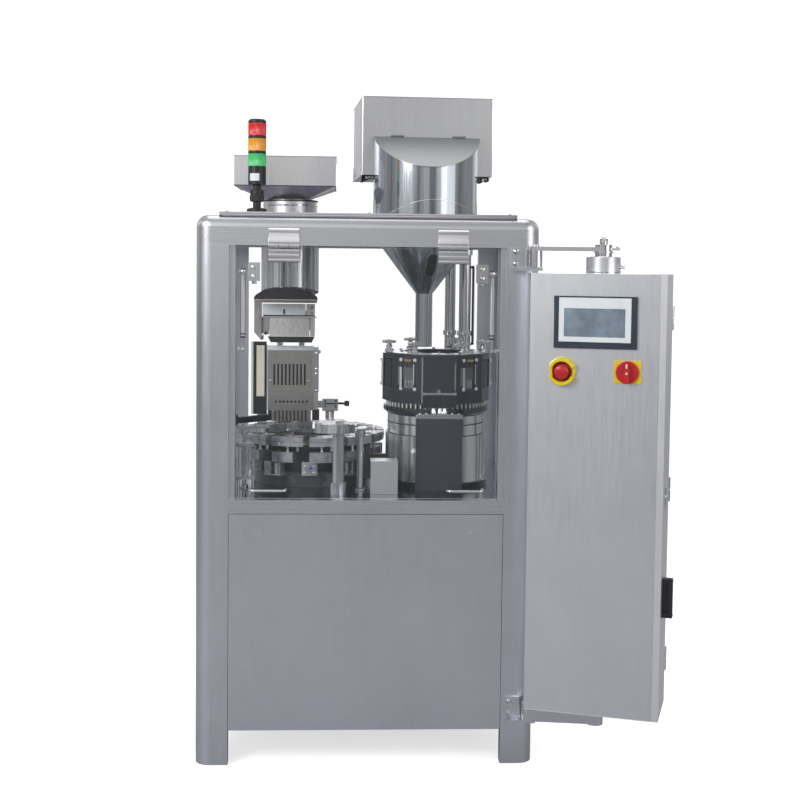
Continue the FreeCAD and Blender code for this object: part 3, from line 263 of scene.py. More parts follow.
# name: colour, alpha, roughness, grain
CLEARS = {
    "clear": ((0.50, 0.55, 0.56), 0.028, 0.03),
    "frosted": ((0.86, 0.85, 0.83), 0.78, 0.35, 220.0),
    "edge": ((0.62, 0.72, 0.72), 0.45, 0.08),
    "window": ((0.40, 0.43, 0.45), 0.06, 0.03),
    "smoke": ((0.30, 0.27, 0.25), 0.70, 0.12),
}
MATERIALS = {
    name: make(name, *values)
    for make, table in ((metal, METALS), (plastic, PLASTICS), (clear, CLEARS))
    for name, values in table.items()
}
SLOT_OF = {part["node"]: part["material_slot"] for part in frame["record"]["subparts"]}
LOOK = {"panel_glass": "bezel"}
NODE_LOOK = {
    "top_frame": "stainless_beam", "cabinet_shell": "cabinet_sheet", "cabinet_side_door": "side_sheet",
    "front_rear_panels": "stainless", "side_panels": "stainless", "table_rails": "stainless_beam",
    "hopper_lid": "lid_sheet", "feed_drive_box": "box_sheet", "capsule_hopper": "box_sheet",
    "closing_station": "turned_steel", "dosing_bowl": "bowl_steel", "dosing_base": "drum_steel",
    "feed_tube": "turned_steel",
    "powder_hopper": "hopper_polish", "turret_base": "base_grey", "dosing_cover": "cover_grey",
    "upper_segments": "segment_steel", "lower_segments": "segment_steel",
    "turret_drum": "drum_dark", "socket_screws": "chrome",
}
for name, item in frame["nodes"].items():
    look = NODE_LOOK.get(name, LOOK.get(SLOT_OF[name], SLOT_OF[name]))
    if not item.data.materials:
        item.data.materials.append(None)
    for index in range(len(item.data.materials)):
        item.data.materials[index] = MATERIALS[look]


# ---------------------------------------------------------------- mesh tools

def local(origin, yaw=0.0):
    """A frame in millimetres at a point of the row frame."""
    return Matrix.Translation(origin) @ Matrix.Rotation(yaw, 4, "Z") @ Matrix.Scale(MM, 4)


def centre(node):
    low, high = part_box(node)
    return (low + high) / 2


def foot_of(node):
    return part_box(node)[0].z / MM


def top_of(node):
    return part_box(node)[1].z / MM


def span(node):
    """A CAD node's box in the machine's frame, in millimetres: x0, y0, z0, x1, y1, z1."""
    return [(corner[i] - (MIDDLE.x, MIDDLE.y, 0.0)[i]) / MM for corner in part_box(node) for i in range(3)]


def aim(at, axis):
    """Puts the Z axis of a shape along an axis, at a point in millimetres."""
    return Matrix.Translation(at) @ Vector(axis).normalized().to_track_quat("Z", "Y").to_matrix().to_4x4()


def stand(x, y, z=0):
    return Matrix.Translation((x, y, z))


def polar(radius, angle, z=0):
    return radius * math.cos(angle), radius * math.sin(angle), z


def spin(degrees):
    return Matrix.Rotation(math.radians(degrees), 4, "Z")


ALONG_X = Matrix(((0, 0, 1, 0), (1, 0, 0, 0), (0, 1, 0, 0), (0, 0, 0, 1)))
ALONG_Y = Matrix(((1, 0, 0, 0), (0, 0, 1, 0), (0, 1, 0, 0), (0, 0, 0, 1)))
IDENTITY = Matrix.Identity(4)


def polygon_radius(radius, angle, sides):
    """Radius of a polygon's outline, or of a knurl when the number of sides is negative."""
    if sides == 0:
        return radius
    if sides < 0:
        return radius * (1 + 0.035 * math.cos(-sides * angle))
    step = 2 * math.pi / sides
    return radius * math.cos(step / 2) / math.cos(angle % step - step / 2)


class Shape:
    """One piece, built from simple solids in a frame in millimetres."""

    def __init__(self, where):
        self.mesh = bmesh.new()
        self.where = where

    def add(self, points, faces, at):
        matrix = self.where @ at
        verts = [self.mesh.verts.new(matrix @ Vector(p)) for p in points]
        for face in faces:
            loop = [verts[i] for i in dict.fromkeys(face)]
            if len(loop) > 2:
                self.mesh.faces.new(loop)
        return self

    def box(self, low, high, at=IDENTITY):
        (a, b, c), (d, e, f) = low, high
        return self.prism([(a, b), (d, b), (d, e), (a, e)], c, f, at)

    def prism(self, outline, low, high, at=IDENTITY):
        n = len(outline)
        points = [(x, y, low) for x, y in outline] + [(x, y, high) for x, y in outline]
        faces = [tuple(range(n))[::-1], tuple(range(n, 2 * n))]
        faces += [(i, (i + 1) % n, n + (i + 1) % n, n + i) for i in range(n)]
        return self.add(points, faces, at)

    def lathe(self, profile, at=IDENTITY, steps=48, start=0.0, sweep=360.0):
        """A closed profile of (radius, height) or (radius, height, sides) turned about Z."""
        whole = sweep >= 360
        columns = steps if whole else steps + 1
        points, n = [], len(profile)
        for i in range(columns):
            angle = math.radians(start + sweep * i / steps)
            for entry in profile:
                radius = polygon_radius(entry[0], angle, entry[2] if len(entry) > 2 else 0)
                points.append((radius * math.cos(angle), radius * math.sin(angle), entry[1]))
        faces = []
        for i in range(steps):
            j = (i + 1) % columns
            for k in range(n):
                m = (k + 1) % n
                if profile[k][0] == 0 and profile[m][0] == 0:
                    continue
                faces.append((i * n + k, j * n + k, j * n + m, i * n + m))
        if not whole:
            faces += [tuple(range(n)), tuple(range(steps * n, steps * n + n))[::-1]]
        return self.add(points, faces, at)

    def rod(self, radius, low, high, at=IDENTITY, steps=48):
        return self.lathe([(0, low), (radius, low), (radius, high), (0, high)], at, steps)

    def ring(self, inner, outer, low, high, at=IDENTITY, steps=48, start=0.0, sweep=360.0):
        profile = [(inner, low), (outer, low), (outer, high), (inner, high)]
        return self.lathe(profile, at, steps, start, sweep)

    def tube(self, path, radius, at=IDENTITY, steps=12):
        """A round bar along a path of points."""
        path = [Vector(p) for p in path]
        points, side = [], None
        for i, p in enumerate(path):
            ahead = (path[min(i + 1, len(path) - 1)] - path[max(i - 1, 0)]).normalized()
            if side is None:
                side = ahead.orthogonal().normalized()
            side = (side - ahead * side.dot(ahead)).normalized()
            up = ahead.cross(side)
            for k in range(steps):
                angle = 2 * math.pi * k / steps
                points.append(p + (side * math.cos(angle) + up * math.sin(angle)) * radius)
        faces = [tuple(range(steps))[::-1], tuple(range(len(points) - steps, len(points)))]
        for i in range(len(path) - 1):
            for k in range(steps):
                m = (k + 1) % steps
                faces.append((i * steps + k, i * steps + m, (i + 1) * steps + m, (i + 1) * steps + k))
        return self.add(points, faces, at)

    def cap_screw(self, at, axis, radius=5.0, height=5.0):
        """A socket cap screw whose head stands out along an axis."""
        r, h = radius, height
        profile = [
            (0, 0), (r, 0), (r, 0.8 * h), (0.86 * r, h),
            (0.56 * r, h, 6), (0.56 * r, 0.4 * h, 6), (0, 0.4 * h),
        ]
        return self.lathe(profile, aim(at, axis), 24)

    def button_screw(self, at, axis, radius=5.0, height=2.5):
        """A low domed screw with a hexagon socket."""
        r, h = radius, height
        profile = [
            (0, 0), (r, 0), (r, 0.25 * h), (0.85 * r, 0.7 * h),
            (0.5 * r, h, 6), (0.5 * r, 0.2 * h, 6), (0, 0.2 * h),
        ]
        return self.lathe(profile, aim(at, axis), 24)

    def hex_nut(self, at, axis, radius=8.0, height=6.0):
        profile = [(0, 0), (radius, 0, 6), (radius, height, 6), (0, height)]
        return self.lathe(profile, aim(at, axis), 24)

    def spring(self, at, radius, wire, length, turns, steps=10):
        path = [
            (
                radius * math.cos(2 * math.pi * i / steps),
                radius * math.sin(2 * math.pi * i / steps),
                length * i / (turns * steps),
            )
            for i in range(turns * steps + 1)
        ]
        return self.tube(path, wire, at, 6)

    def done(self, name, body, look, slot, bevel=0.0, smooth=34.0, replaces=()):
        """Turns the shape into an object that rides on a body."""
        build = self.mesh
        bmesh.ops.remove_doubles(build, verts=build.verts, dist=1e-7)
        bmesh.ops.dissolve_degenerate(build, edges=build.edges, dist=1e-7)
        bmesh.ops.recalc_face_normals(build, faces=build.faces)
        limit = math.radians(smooth)
        for edge in build.edges:
            edge.smooth = len(edge.link_faces) == 2 and edge.calc_face_angle(math.pi) < limit
        for face in build.faces:
            face.smooth = True
        mesh = bpy.data.meshes.new(name)
        build.to_mesh(mesh)
        build.free()
        mesh.materials.append(MATERIALS[look])
        item = bpy.data.objects.new(name, mesh)
        bpy.context.scene.collection.objects.link(item)
        if bevel:
            modifier = item.modifiers.new("edges", "BEVEL")
            modifier.width = bevel * MM
            modifier.segments = 2
            modifier.limit_method = "ANGLE"
            modifier.angle_limit = math.radians(40)
            modifier.harden_normals = True
        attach(item, body)
        if replaces:
            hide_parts(*replaces)
        return item


def shapes(where, count):
    return [Shape(where) for _ in range(count)]


JOINT = {joint["name"]: joint for joint in frame["joints"]}
MIDDLE = centre("frame_posts")
MACHINE = local((MIDDLE.x, MIDDLE.y, 0))
TABLE = top_of("table_plate")
TURRET_AT = centre("turret_base")
TURRET = local((TURRET_AT.x, TURRET_AT.y, 0))
DOSING_AT = centre("dosing_base")
DOSING = local((DOSING_AT.x, DOSING_AT.y, 0))
LID_AXIS = Vector(JOINT["lid_lift"]["axis"])
FEED_YAW = math.atan2(-LID_AXIS.y, -LID_AXIS.x)
STIRRER = Vector(JOINT["agitator_turn"]["pos_m"])
HOPPER = local((STIRRER.x, STIRRER.y, 0), FEED_YAW)
INWARD = Vector(JOINT["stop_press"]["axis"])
CABINET_AT = Vector(JOINT["cabinet_turn"]["pos_m"])
CABINET_YAW = math.atan2(-INWARD.x, INWARD.y)
CABINET = local((CABINET_AT.x, CABINET_AT.y, 0), CABINET_YAW)
CABINET_FACE = -103.0  # the control cabinet's front plane, in its own frame
STATIONS = 12  # round the turret
FACETS = 10  # round the tamping head


# ---------------------------------------------------------------- frame, door and roof

def hinges():
    """Ribbed chrome covers on both leaves of the two door hinges."""
    frame_leaves, door_leaves = shapes(MACHINE, 2)
    apart, half, pin_y = 250, 45, -437
    for side in (-1, 1):
        left, right = side * apart - half, side * apart + half
        low, high = foot_of("hinge_frame_leaves"), top_of("hinge_frame_leaves")
        face = -430.2
        outline = [(face, high - 1), (face - 6, high - 1), (face - 9, high - 4), (face - 9, high - 10)]
        outline += [(face - 6.5, high - 13), (face - 6.5, low + 17), (face - 8, low + 14), (face, low + 14)]
        frame_leaves.prism(outline, left, right, ALONG_X)
        low = foot_of("hinge_door_leaves")
        outline = [(face, low + 42)]
        for middle, radius in ((low + 36, 6.0), (low + 22, 7.5), (low + 8, 6.5)):
            for k in range(9):
                angle = math.pi / 2 - math.pi * k / 8
                outline.append((face - 3 - radius * math.cos(angle), middle + radius * math.sin(angle)))
        outline.append((face, low + 1))
        door_leaves.prism(outline, left, right, ALONG_X)
    axis = JOINT["front_door_lift"]["pos_m"][2] / MM
    for side in (-1, 1):
        for a, b in ((-45, -16), (-14, 14), (16, 45)):
            frame_leaves.rod(6.5, a, b, aim((side * apart, pin_y, axis), (1, 0, 0)), 24)
    frame_leaves.done("hinge_covers_frame", "machine", "chrome", "chrome", 0.6, 34, ("hinge_frame_leaves",))
    door_leaves.done("hinge_covers_door", "front_door", "chrome", "chrome", 0.3, 34, ("hinge_door_leaves",))
    pins = Shape(MACHINE)
    for side in (-1, 1):
        for end in (-1, 1):
            pins.lathe(
                [(0, 0), (4.5, 0), (4.5, 1.2), (3, 2), (0, 2)],
                aim((side * apart + end * half, pin_y, axis), (end, 0, 0)), 20,
            )
    pins.done("hinge_pin_heads", "machine", "tool_steel", "tool_steel")


def door_edge():
    """The polished edge of the clear door, which looks denser than its faces."""
    x0, y0, bottom, x1, y1, top = span("door_pane")
    rim = Shape(MACHINE)
    x0, x1, y0, y1 = x0 - 0.15, x1 + 0.15, y0 + 0.5, y1 - 0.5
    rim.box((x0, y0, bottom), (x0 + 0.6, y1, top))
    rim.box((x1 - 0.6, y0, bottom), (x1, y1, top))
    rim.box((x0, y0, bottom - 0.15), (x1, y1, bottom + 0.5))
    rim.box((x0, y0, top - 0.5), (x1, y1, top + 0.15))
    rim.done("door_polished_edge", "front_door", "edge", "clear")


def struts():
    """Ball studs, nuts and seals of the two gas struts."""
    foot = JOINT["strut_lean"]["pos_m"][2] / MM
    studs, seals, heads = shapes(MACHINE, 3)
    cylinder_foot = foot_of("strut_cylinders")
    plane, head_at = -392, 1482
    for side in (-1, 1):
        x = side * 372
        studs.hex_nut((x + side * 9, plane, foot), (side, 0, 0), 8, 6)
        studs.rod(4, 0, 22, aim((x + side * 8, plane, foot), (side, 0, 0)), 16)
        seals.lathe(
            [(4.6, -5), (7.4, -5), (7.9, -1), (7.9, 5), (8.3, 5), (8.3, 9), (4.6, 9)],
            stand(x, plane, cylinder_foot), 24,
        )
        heads.lathe(
            [(0, 0), (9, 0), (10, 3), (10, 10), (8, 13), (0, 13)],
            aim((x - side * 7, plane, head_at), (side, 0, 0)), 24,
        )
        heads.hex_nut((x + side * 7, plane, head_at), (side, 0, 0), 7, 4)
    studs.done("strut_studs", "machine", "chrome", "chrome", 0.4)
    seals.done("strut_seals", "strut_cylinder", "black_plastic", "black_plastic")
    heads.done("strut_eyes", "strut_cylinder", "chrome", "chrome", 0.4)


def clamps():
    """Grub screws and a lower knob on the chrome clamps of the door."""
    bottom, top = foot_of("strut_door_clamps"), top_of("strut_door_clamps")
    knobs = Shape(MACHINE)
    for side in (-1, 1):
        x = side * 338.5
        knobs.lathe([(0, -9), (6, -9), (8, -7), (8, -3), (5, 0), (0, 0)], stand(x, -402, bottom), 24)
        for z in (bottom + 14, top - 14):
            knobs.button_screw((x, -430.2, z), (0, -1, 0), 6, 3)
    knobs.done("clamp_screws", "front_door", "chrome", "chrome", 0.3)


def tower():
    """Fluted lenses, parting rings, a knurled swivel and its nuts."""
    at = centre("red_lens")
    where = local((at.x, at.y, 0))
    for colour in ("green", "amber", "red"):
        z0, z1 = foot_of(f"{colour}_lens"), top_of(f"{colour}_lens")
        profile = [(22.5, z0), (26.5, z0), (26.5, z0 + 1.5), (26.0, z0 + 2.5, -40), (26.0, z1 - 2.5, -40)]
        profile += [(26.5, z1 - 1.5), (26.5, z1), (22.5, z1)]
        Shape(where).lathe(profile, IDENTITY, 160).done(
            f"fluted_{colour}_lens", "machine", f"{colour}_lens", f"{colour}_lens",
            0, 60, (f"{colour}_lens",),
        )
    rings = Shape(where)
    for colour in ("green", "amber", "red"):
        z = top_of(f"{colour}_lens")
        rings.lathe(
            [(20, z), (26.2, z), (26.8, z + 1), (26.8, z + 7), (26.2, z + 8.4), (20, z + 8.4)], IDENTITY,
            64,
        )
    foot = foot_of("tower_housing")
    rings.lathe(
        [(14, foot + 34), (21, foot + 34, -18), (21, foot + 50, -18), (14, foot + 50)], IDENTITY, 144
    )
    rings.ring(14, 20.6, foot + 53, foot + 64, IDENTITY, 64)
    for k in range(3):
        angle = math.radians(120 * k + 30)
        rings.cap_screw(polar(24, angle, foot + 9.5), (0, 0, 1), 2.6, 2.5)
    rings.box((-9, -27.2, foot + 88), (9, -25, foot + 92))
    rings.done("tower_fittings", "machine", "black_plastic", "black_plastic", 0.3)
    Shape(where).prism([(-46, -32), (40, -32), (40, 34), (-46, 34)], foot, foot + 1.2).done(
        "tower_pad", "machine", "chrome", "chrome", 0.4
    )
    Shape(where).ring(26.55, 26.75, foot + 92, foot + 114, IDENTITY, 24, 222, 66).done(
        "tower_plain_sticker", "machine", "pale_plastic", "clear"
    )


def roof():
    """Screws and thin edge strips on the cover plate of the roof."""
    foot, top = foot_of("roof_plate"), top_of("roof_plate")
    screws, strips = shapes(MACHINE, 2)
    for x in (-420, -210, 0, 420):
        for y in (-400, 400):
            screws.button_screw((x, y, top), (0, 0, 1), 6, 3)
    for y in (-200, 0, 200):
        for x in (-425, 425):
            screws.button_screw((x, y, top), (0, 0, 1), 6, 3)
    screws.done("roof_screws", "machine", "tool_steel", "tool_steel")
    strips.box((-441.4, -415.6, foot + 0.4), (441.4, -414.9, foot + 3.4))
    strips.box((-441.4, -415.6, foot + 6.2), (441.4, -414.9, foot + 9.8))
    strips.done("roof_edge_strips", "machine", "chrome", "chrome")
    fillers = Shape(MACHINE)
    for y in (-1, 1):
        a, b = sorted((409 * y, 396 * y))
        fillers.box((-434, a, foot - 8), (434, b, foot - 0.1))
    for x in (-1, 1):
        a, b = sorted((434 * x, 421 * x))
        fillers.box((a, -396, foot - 8), (b, 396, foot - 0.1))
    fillers.done("roof_seal_strips", "machine", "stainless_beam", "stainless", 0.4)


def cladding():
    """Quarter-turn locks on the lower side and rear panels."""
    locks = Shape(MACHINE)
    height = 700
    spots = [((side * 510.1, y, height), (side, 0, 0)) for side in (-1, 1) for y in (-230, 230)]
    spots += [((x, 430.1, height), (0, 1, 0)) for x in (-250, 250)]
    for spot, axis in spots:
        at = aim(spot, axis)
        locks.lathe([(0, 0), (13, 0), (13, 2), (11, 3.5), (5, 3.5), (5, 1.5), (0, 1.5)], at, 32)
        locks.box((-1.2, -4.6, 1.4), (1.2, 4.6, 3.2), at)
    locks.done("panel_locks", "machine", "chrome", "chrome", 0.2)


# ---------------------------------------------------------------- capsule feed

def bin_details():
    """A rolled rim and a dark joint under the capsule bin, and a dark sleeve and cap inside the feed tube: painted
    shade of its interior.
    """
    x0, y0, _, x1, y1, top = span("capsule_hopper")
    rim = Shape(MACHINE)
    corners = [(x0, y0), (x1, y0), (x1, y1), (x0, y1), (x0, y0)]
    for (a, b), (c, d) in zip(corners, corners[1:]):
        rim.tube([(a, b, top - 1.5), (c, d, top - 1.5)], 2.2, IDENTITY, 10)
    rim.done("bin_rim", "machine", "stainless_beam", "stainless")
    seam = Shape(MACHINE)
    foot = 1758.6
    for (a, b), (c, d) in zip(corners, corners[1:]):
        seam.tube([(a, b, foot), (c, d, foot)], 1.3, IDENTITY, 8)
    neck = centre("feed_tube")
    x, y = (neck.x - MIDDLE.x) / MM, (neck.y - MIDDLE.y) / MM
    seam.ring(90, 93.4, 1712, 1717, stand(x, y), 64)
    seam.done("bin_dark_joints", "machine", "black_plastic", "black_plastic")
    band = Shape(MACHINE)
    band.lathe([(91.2, 1662), (94, 1663), (94, 1669), (91.2, 1670)], stand(x, y), 64)
    band.lathe([(91.2, 1696), (93, 1697), (93, 1701), (91.2, 1702)], stand(x, y), 64)
    band.done("bin_neck_bands", "machine", "polished", "polished")
    # A dark sleeve and cap inside the feed tube: painted shade of its interior.
    inner_shade = Shape(MACHINE)
    mouth = foot_of("feed_tube")
    inner_shade.ring(93.2, 93.6, mouth + 42, mouth + 200, stand(x, y), 64)
    inner_shade.rod(93.2, mouth + 196, mouth + 200, stand(x, y), 64)
    inner_shade.done("feed_tube_inner_shade", "machine", "dark", "black_plastic")


def chute():
    """The lid, flap, frosted plate and black foot of the clear capsule chute, and a dark arch of painted shade in
    front of the feed tube.
    """
    x0, y0, z0, x1, y1, z1 = span("capsule_chute")
    lid = Shape(MACHINE)
    lid.box((x0 - 6, y0 - 6, z1 + 0.4), (x1 + 4, y0 + 3, z1 + 4))
    lid.box((x0 - 6, y0 + 3, z1 + 0.4), (x0 + 2, y1 + 3, z1 + 4))
    lid.box((x1 - 4, y0 + 3, z1 + 0.4), (x1 + 4, y1 + 3, z1 + 4))
    lid.box((x0 - 2, y0 - 3, z1 - 55), (x1 + 4, y0 - 0.4, z1 - 50))
    lid.done("chute_strips", "machine", "stainless_beam", "stainless", 0.3)
    Shape(MACHINE).box((x0 + 2, y0 - 3.4, z1 - 46), (x1 - 33, y0 - 0.6, z1 - 8)).done(
        "chute_flap", "machine", "pale_plastic", "stainless", 0.4
    )
    Shape(MACHINE).box((x0 + 26, y0 - 2.6, z0 + 21), (x1 - 20, y0 - 0.5, z1 - 56)).done(
        "chute_frosted_plate", "machine", "frosted", "clear", 0.4
    )
    handle = Shape(MACHINE)
    middle = (x0 + x1 - 31) / 2
    handle.box((middle - 3, y0 - 5.2, z1 - 43), (middle + 3, y0 - 3.2, z1 - 26))
    for x, z in ((x1 - 12, z1 - 20), (x1 - 12, z1 - 38), (x0 + 13, z0 + 30)):
        handle.button_screw((x, y0 - 0.4, z), (0, -1, 0), 5, 3)
    foot_low, foot_high = z0 - 0.5, z0 + 20
    front = y0 - 1.5
    outline = [(x0 + 20, foot_high), (x0 + 30, foot_low), (x1 - 12, foot_low), (x1 - 3, foot_high)]
    handle.prism(outline, front, front + 1.2, ALONG_Y)
    handle.box((x0 - 0.9, y0, foot_low + 6), (x0 - 0.3, y1, foot_high))
    handle.done("chute_black_parts", "machine", "black_plastic", "black_plastic", 0.3)
    # A dark arch sheet in front of the feed tube's mouth: painted shade.
    shade = Shape(MACHINE)
    arch = [
        (-264 + 106.5 * math.cos(math.radians(a)), z1 + 8 + 40 * math.sin(math.radians(a)))
        for a in range(0, 181, 12)
    ]
    shade.prism(arch, y0 - 61, y0 - 58, ALONG_Y)
    shade.done("feed_mouth_shade", "machine", "shade", "black_plastic", 0.4)
    Shape(MACHINE).box((-368, y0 - 60.5, z1 - 3), (-160, y0 - 58.5, z1 + 7.6)).done(
        "feed_mouth_band", "machine", "smoke", "clear", 0.3
    )
    Shape(MACHINE).prism(
        [(x0 - 26, z1 - 1), (x0, z1 - 1), (x0, z0 + 8), (x0 - 4, z0 + 8), (x0 - 26, z0 + 34)], y0 + 2,
        y0 + 5, ALONG_Y,
    ).done(
        "chute_left_wing", "machine", "smoke", "clear", 0.3
    )
    light = Shape(MACHINE)
    light.box((x1 - 31, y0 - 2.8, z1 - 46), (x1 - 2, y0 - 0.5, z1 - 8))
    light.box((x1 - 18, y0 - 2.8, z0 + 21), (x1 - 2, y0 - 0.5, z1 - 56))
    light.done("chute_right_plates", "machine", "frosted", "clear", 0.3)
    side = Shape(MACHINE)
    side.box((x0 - 2.6, y0 + 4, z0 + 26), (x0 - 0.5, y1, z1 - 56))
    side.box((x0 + 5, y0 + 4.5, z0 + 26), (x0 + 25, y0 + 6, z1 - 56))
    side.done("chute_side_sheet", "machine", "polished", "polished", 0.3)


def magazine():
    """The slotted front plate, the lower plate with sight holes and the comb of the magazine."""
    x0, y, _, x1, _, top = span("magazine_plate")
    plate, dark, cap = shapes(MACHINE, 3)
    first, pitch, count = x0 + 22.2, 12.9, 9
    slot_high, slot_low, fold = top - 49, top - 122, top - 146
    centres = [first + pitch * k for k in range(count)]
    half = 3.1
    front, back = y - 2.0, y - 0.2
    plate.box((x0, front, slot_high), (x1, back, top - 3))
    plate.box((x0, front, fold), (x1, back, slot_low))
    edges = [x0] + [v for c in centres for v in (c - half, c + half)] + [x1]
    for a, b in zip(edges[::2], edges[1::2]):
        plate.box((a, front, slot_low), (b, back, slot_high))
    # A dark sheet behind the slots: painted shade seen through them.
    dark.box((x0 + 8, y - 0.6, slot_low - 3), (x1 - 8, y - 0.15, slot_high + 3))
    lower_top, lower_foot, hole = fold - 2, top - 208, top - 178
    sides = [x0 + 6] + [v for c in centres for v in (c + 7 - 2.4, c + 7 + 2.4)] + [x1 + 6]
    for a, b in zip(sides[::2], sides[1::2]):
        plate.box((a, front - 1, hole - 2.4), (b, back, hole + 2.4))
    plate.box((x0 + 6, front - 1, hole + 2.4), (x1 + 6, back, lower_top))
    plate.box((x0 + 6, front - 1, lower_foot), (x1 + 6, back, hole - 2.4))
    # A dark strip behind the sight holes: painted shade seen through them.
    dark.box((x0 + 14, y - 0.6, hole - 5), (x1 - 2, y - 0.1, hole + 5))
    plate.done("magazine_front_plates", "magazine", "warm_steel", "tool_steel", 0.35)
    rings = Shape(MACHINE)
    # Dark discs in the sight holes: painted shade inside them.
    for c in centres:
        at = aim((c + 7, front - 0.9, hole), (0, -1, 0))
        dark.rod(4.1, 0, 0.4, at, 16)
    for x in (x0 + 9.5, x1 - 9.5):
        rings.button_screw((x, front, slot_low + 14), (0, -1, 0), 4.6, 2.2)
    rings.done("magazine_hole_rings", "magazine", "warm_steel", "tool_steel")
    cap.box((x0 - 3, front - 1.5, top - 3), (x1 + 7, y + 8, top + 12))
    cap.done("magazine_cap", "magazine", "pale_plastic", "stainless", 0.8)
    comb_top, comb_foot = lower_foot - 1, foot_of("magazine_block")
    teeth = Shape(MACHINE)
    combs = [c + 4 for c in centres]
    edges = [x0 + 14] + [v for c in combs for v in (c - 2.5, c + 2.5)] + [x1 - 1]
    for a, b in zip(edges[::2], edges[1::2]):
        teeth.box((a, front + 0.5, comb_foot), (b, y + 3, comb_top))
    teeth.done("magazine_comb", "magazine", "warm_steel", "tool_steel", 0.3)
    # A dark strip behind the comb: painted shade between the teeth.
    dark.box((x0 + 16, y + 1.6, comb_foot + 1), (x1 - 3, y + 2.4, comb_top))
    for c in combs:
        dark.rod(3.4, 0, 1, aim((c, front + 0.4, comb_top - 3), (0, -1, 0)), 16)
    dark.box((x1 + 3, front, comb_foot + 4), (x1 + 27, y + 30, comb_top + 3))
    dark.box((x0 + 1, front + 2, comb_foot + 2), (x0 + 13, y + 20, comb_top))
    dark.done("magazine_dark_parts_and_shade", "magazine", "dark", "black_plastic", 0.3)
    side = Shape(MACHINE)
    right = span("magazine_block")[3]
    side.box((x1 + 2, y + 1, fold), (right + 1.6, y + 4, top - 3))
    side.box((right + 0.2, y + 4, fold), (right + 1.6, y + 80, top - 3))
    side.done("magazine_side_strip", "magazine", "tool_steel", "tool_steel", 0.4)
    heads = Shape(MACHINE)
    for z in (top - 12, top - 66, top - 82, top - 140):
        heads.button_screw((right - 5, y + 1, z), (0, -1, 0), 4.4, 2.4)
    for along in (22, 60):
        heads.cap_screw((right + 1.6, y + along, top - 10), (1, 0, 0), 5, 6)
    heads.done("magazine_screws", "magazine", "chrome", "chrome")
    panel, strip, backing = shapes(MACHINE, 3)
    panel.box((-369, 215.5, 1047), (-342, 219, 1223))
    panel.done("magazine_rear_panel", "machine", "cream", "aluminium", 0.5)
    strip.box((-388, 215.5, 985), (-380, 222, 1236))
    strip.done("magazine_rear_strip", "machine", "white_plastic", "aluminium", 0.6)
    backing.box((-380, 219.2, 985), (-335, 221.8, 1236))
    backing.done("magazine_rear_backing", "machine", "graphite", "black_metal", 0.4)


def adjuster():
    """Clear sleeves with orange collars under the adjuster, and ribs on its knob."""
    _, front, foot, x1, back, _ = span("adjuster_block")
    y = (front + back) / 2
    sleeves, collars, bolts = shapes(MACHINE, 3)
    for x in (x1 - 36, x1 - 20):
        sleeves.ring(4, 6.6, foot - 4, foot + 26, stand(x, y - 3), 24)
        collars.ring(5, 8, foot + 24, foot + 31, stand(x, y - 3), 24)
    sleeves.done("adjuster_sleeves", "magazine", "frosted", "clear")
    collars.done("adjuster_collars", "magazine", "brass", "tool_steel")
    for x in (x1 - 44, x1 - 8):
        for z in (foot + 44, foot + 62):
            bolts.cap_screw((x, front, z), (0, -1, 0), 3.2, 3)
    bolts.box((x1 - 48, front - 1.2, foot + 51), (x1 - 4, front, foot + 55))
    bolts.done("adjuster_screws", "magazine", "black_metal", "black_metal")
    _, near, low, end, far, high = span("adjuster_knob")
    grip = Shape(MACHINE)
    at = aim((end - 12, (near + far) / 2, (low + high) / 2), (1, 0, 0))
    grip.lathe([(0, 0), (8.8, 0, -14), (9.3, 2, -14), (9.3, 10, -14), (8.2, 12.3), (0, 12.3)], at, 112)
    grip.done("adjuster_knob_grip", "adjuster", "black_plastic", "black_plastic")


# ---------------------------------------------------------------- turret

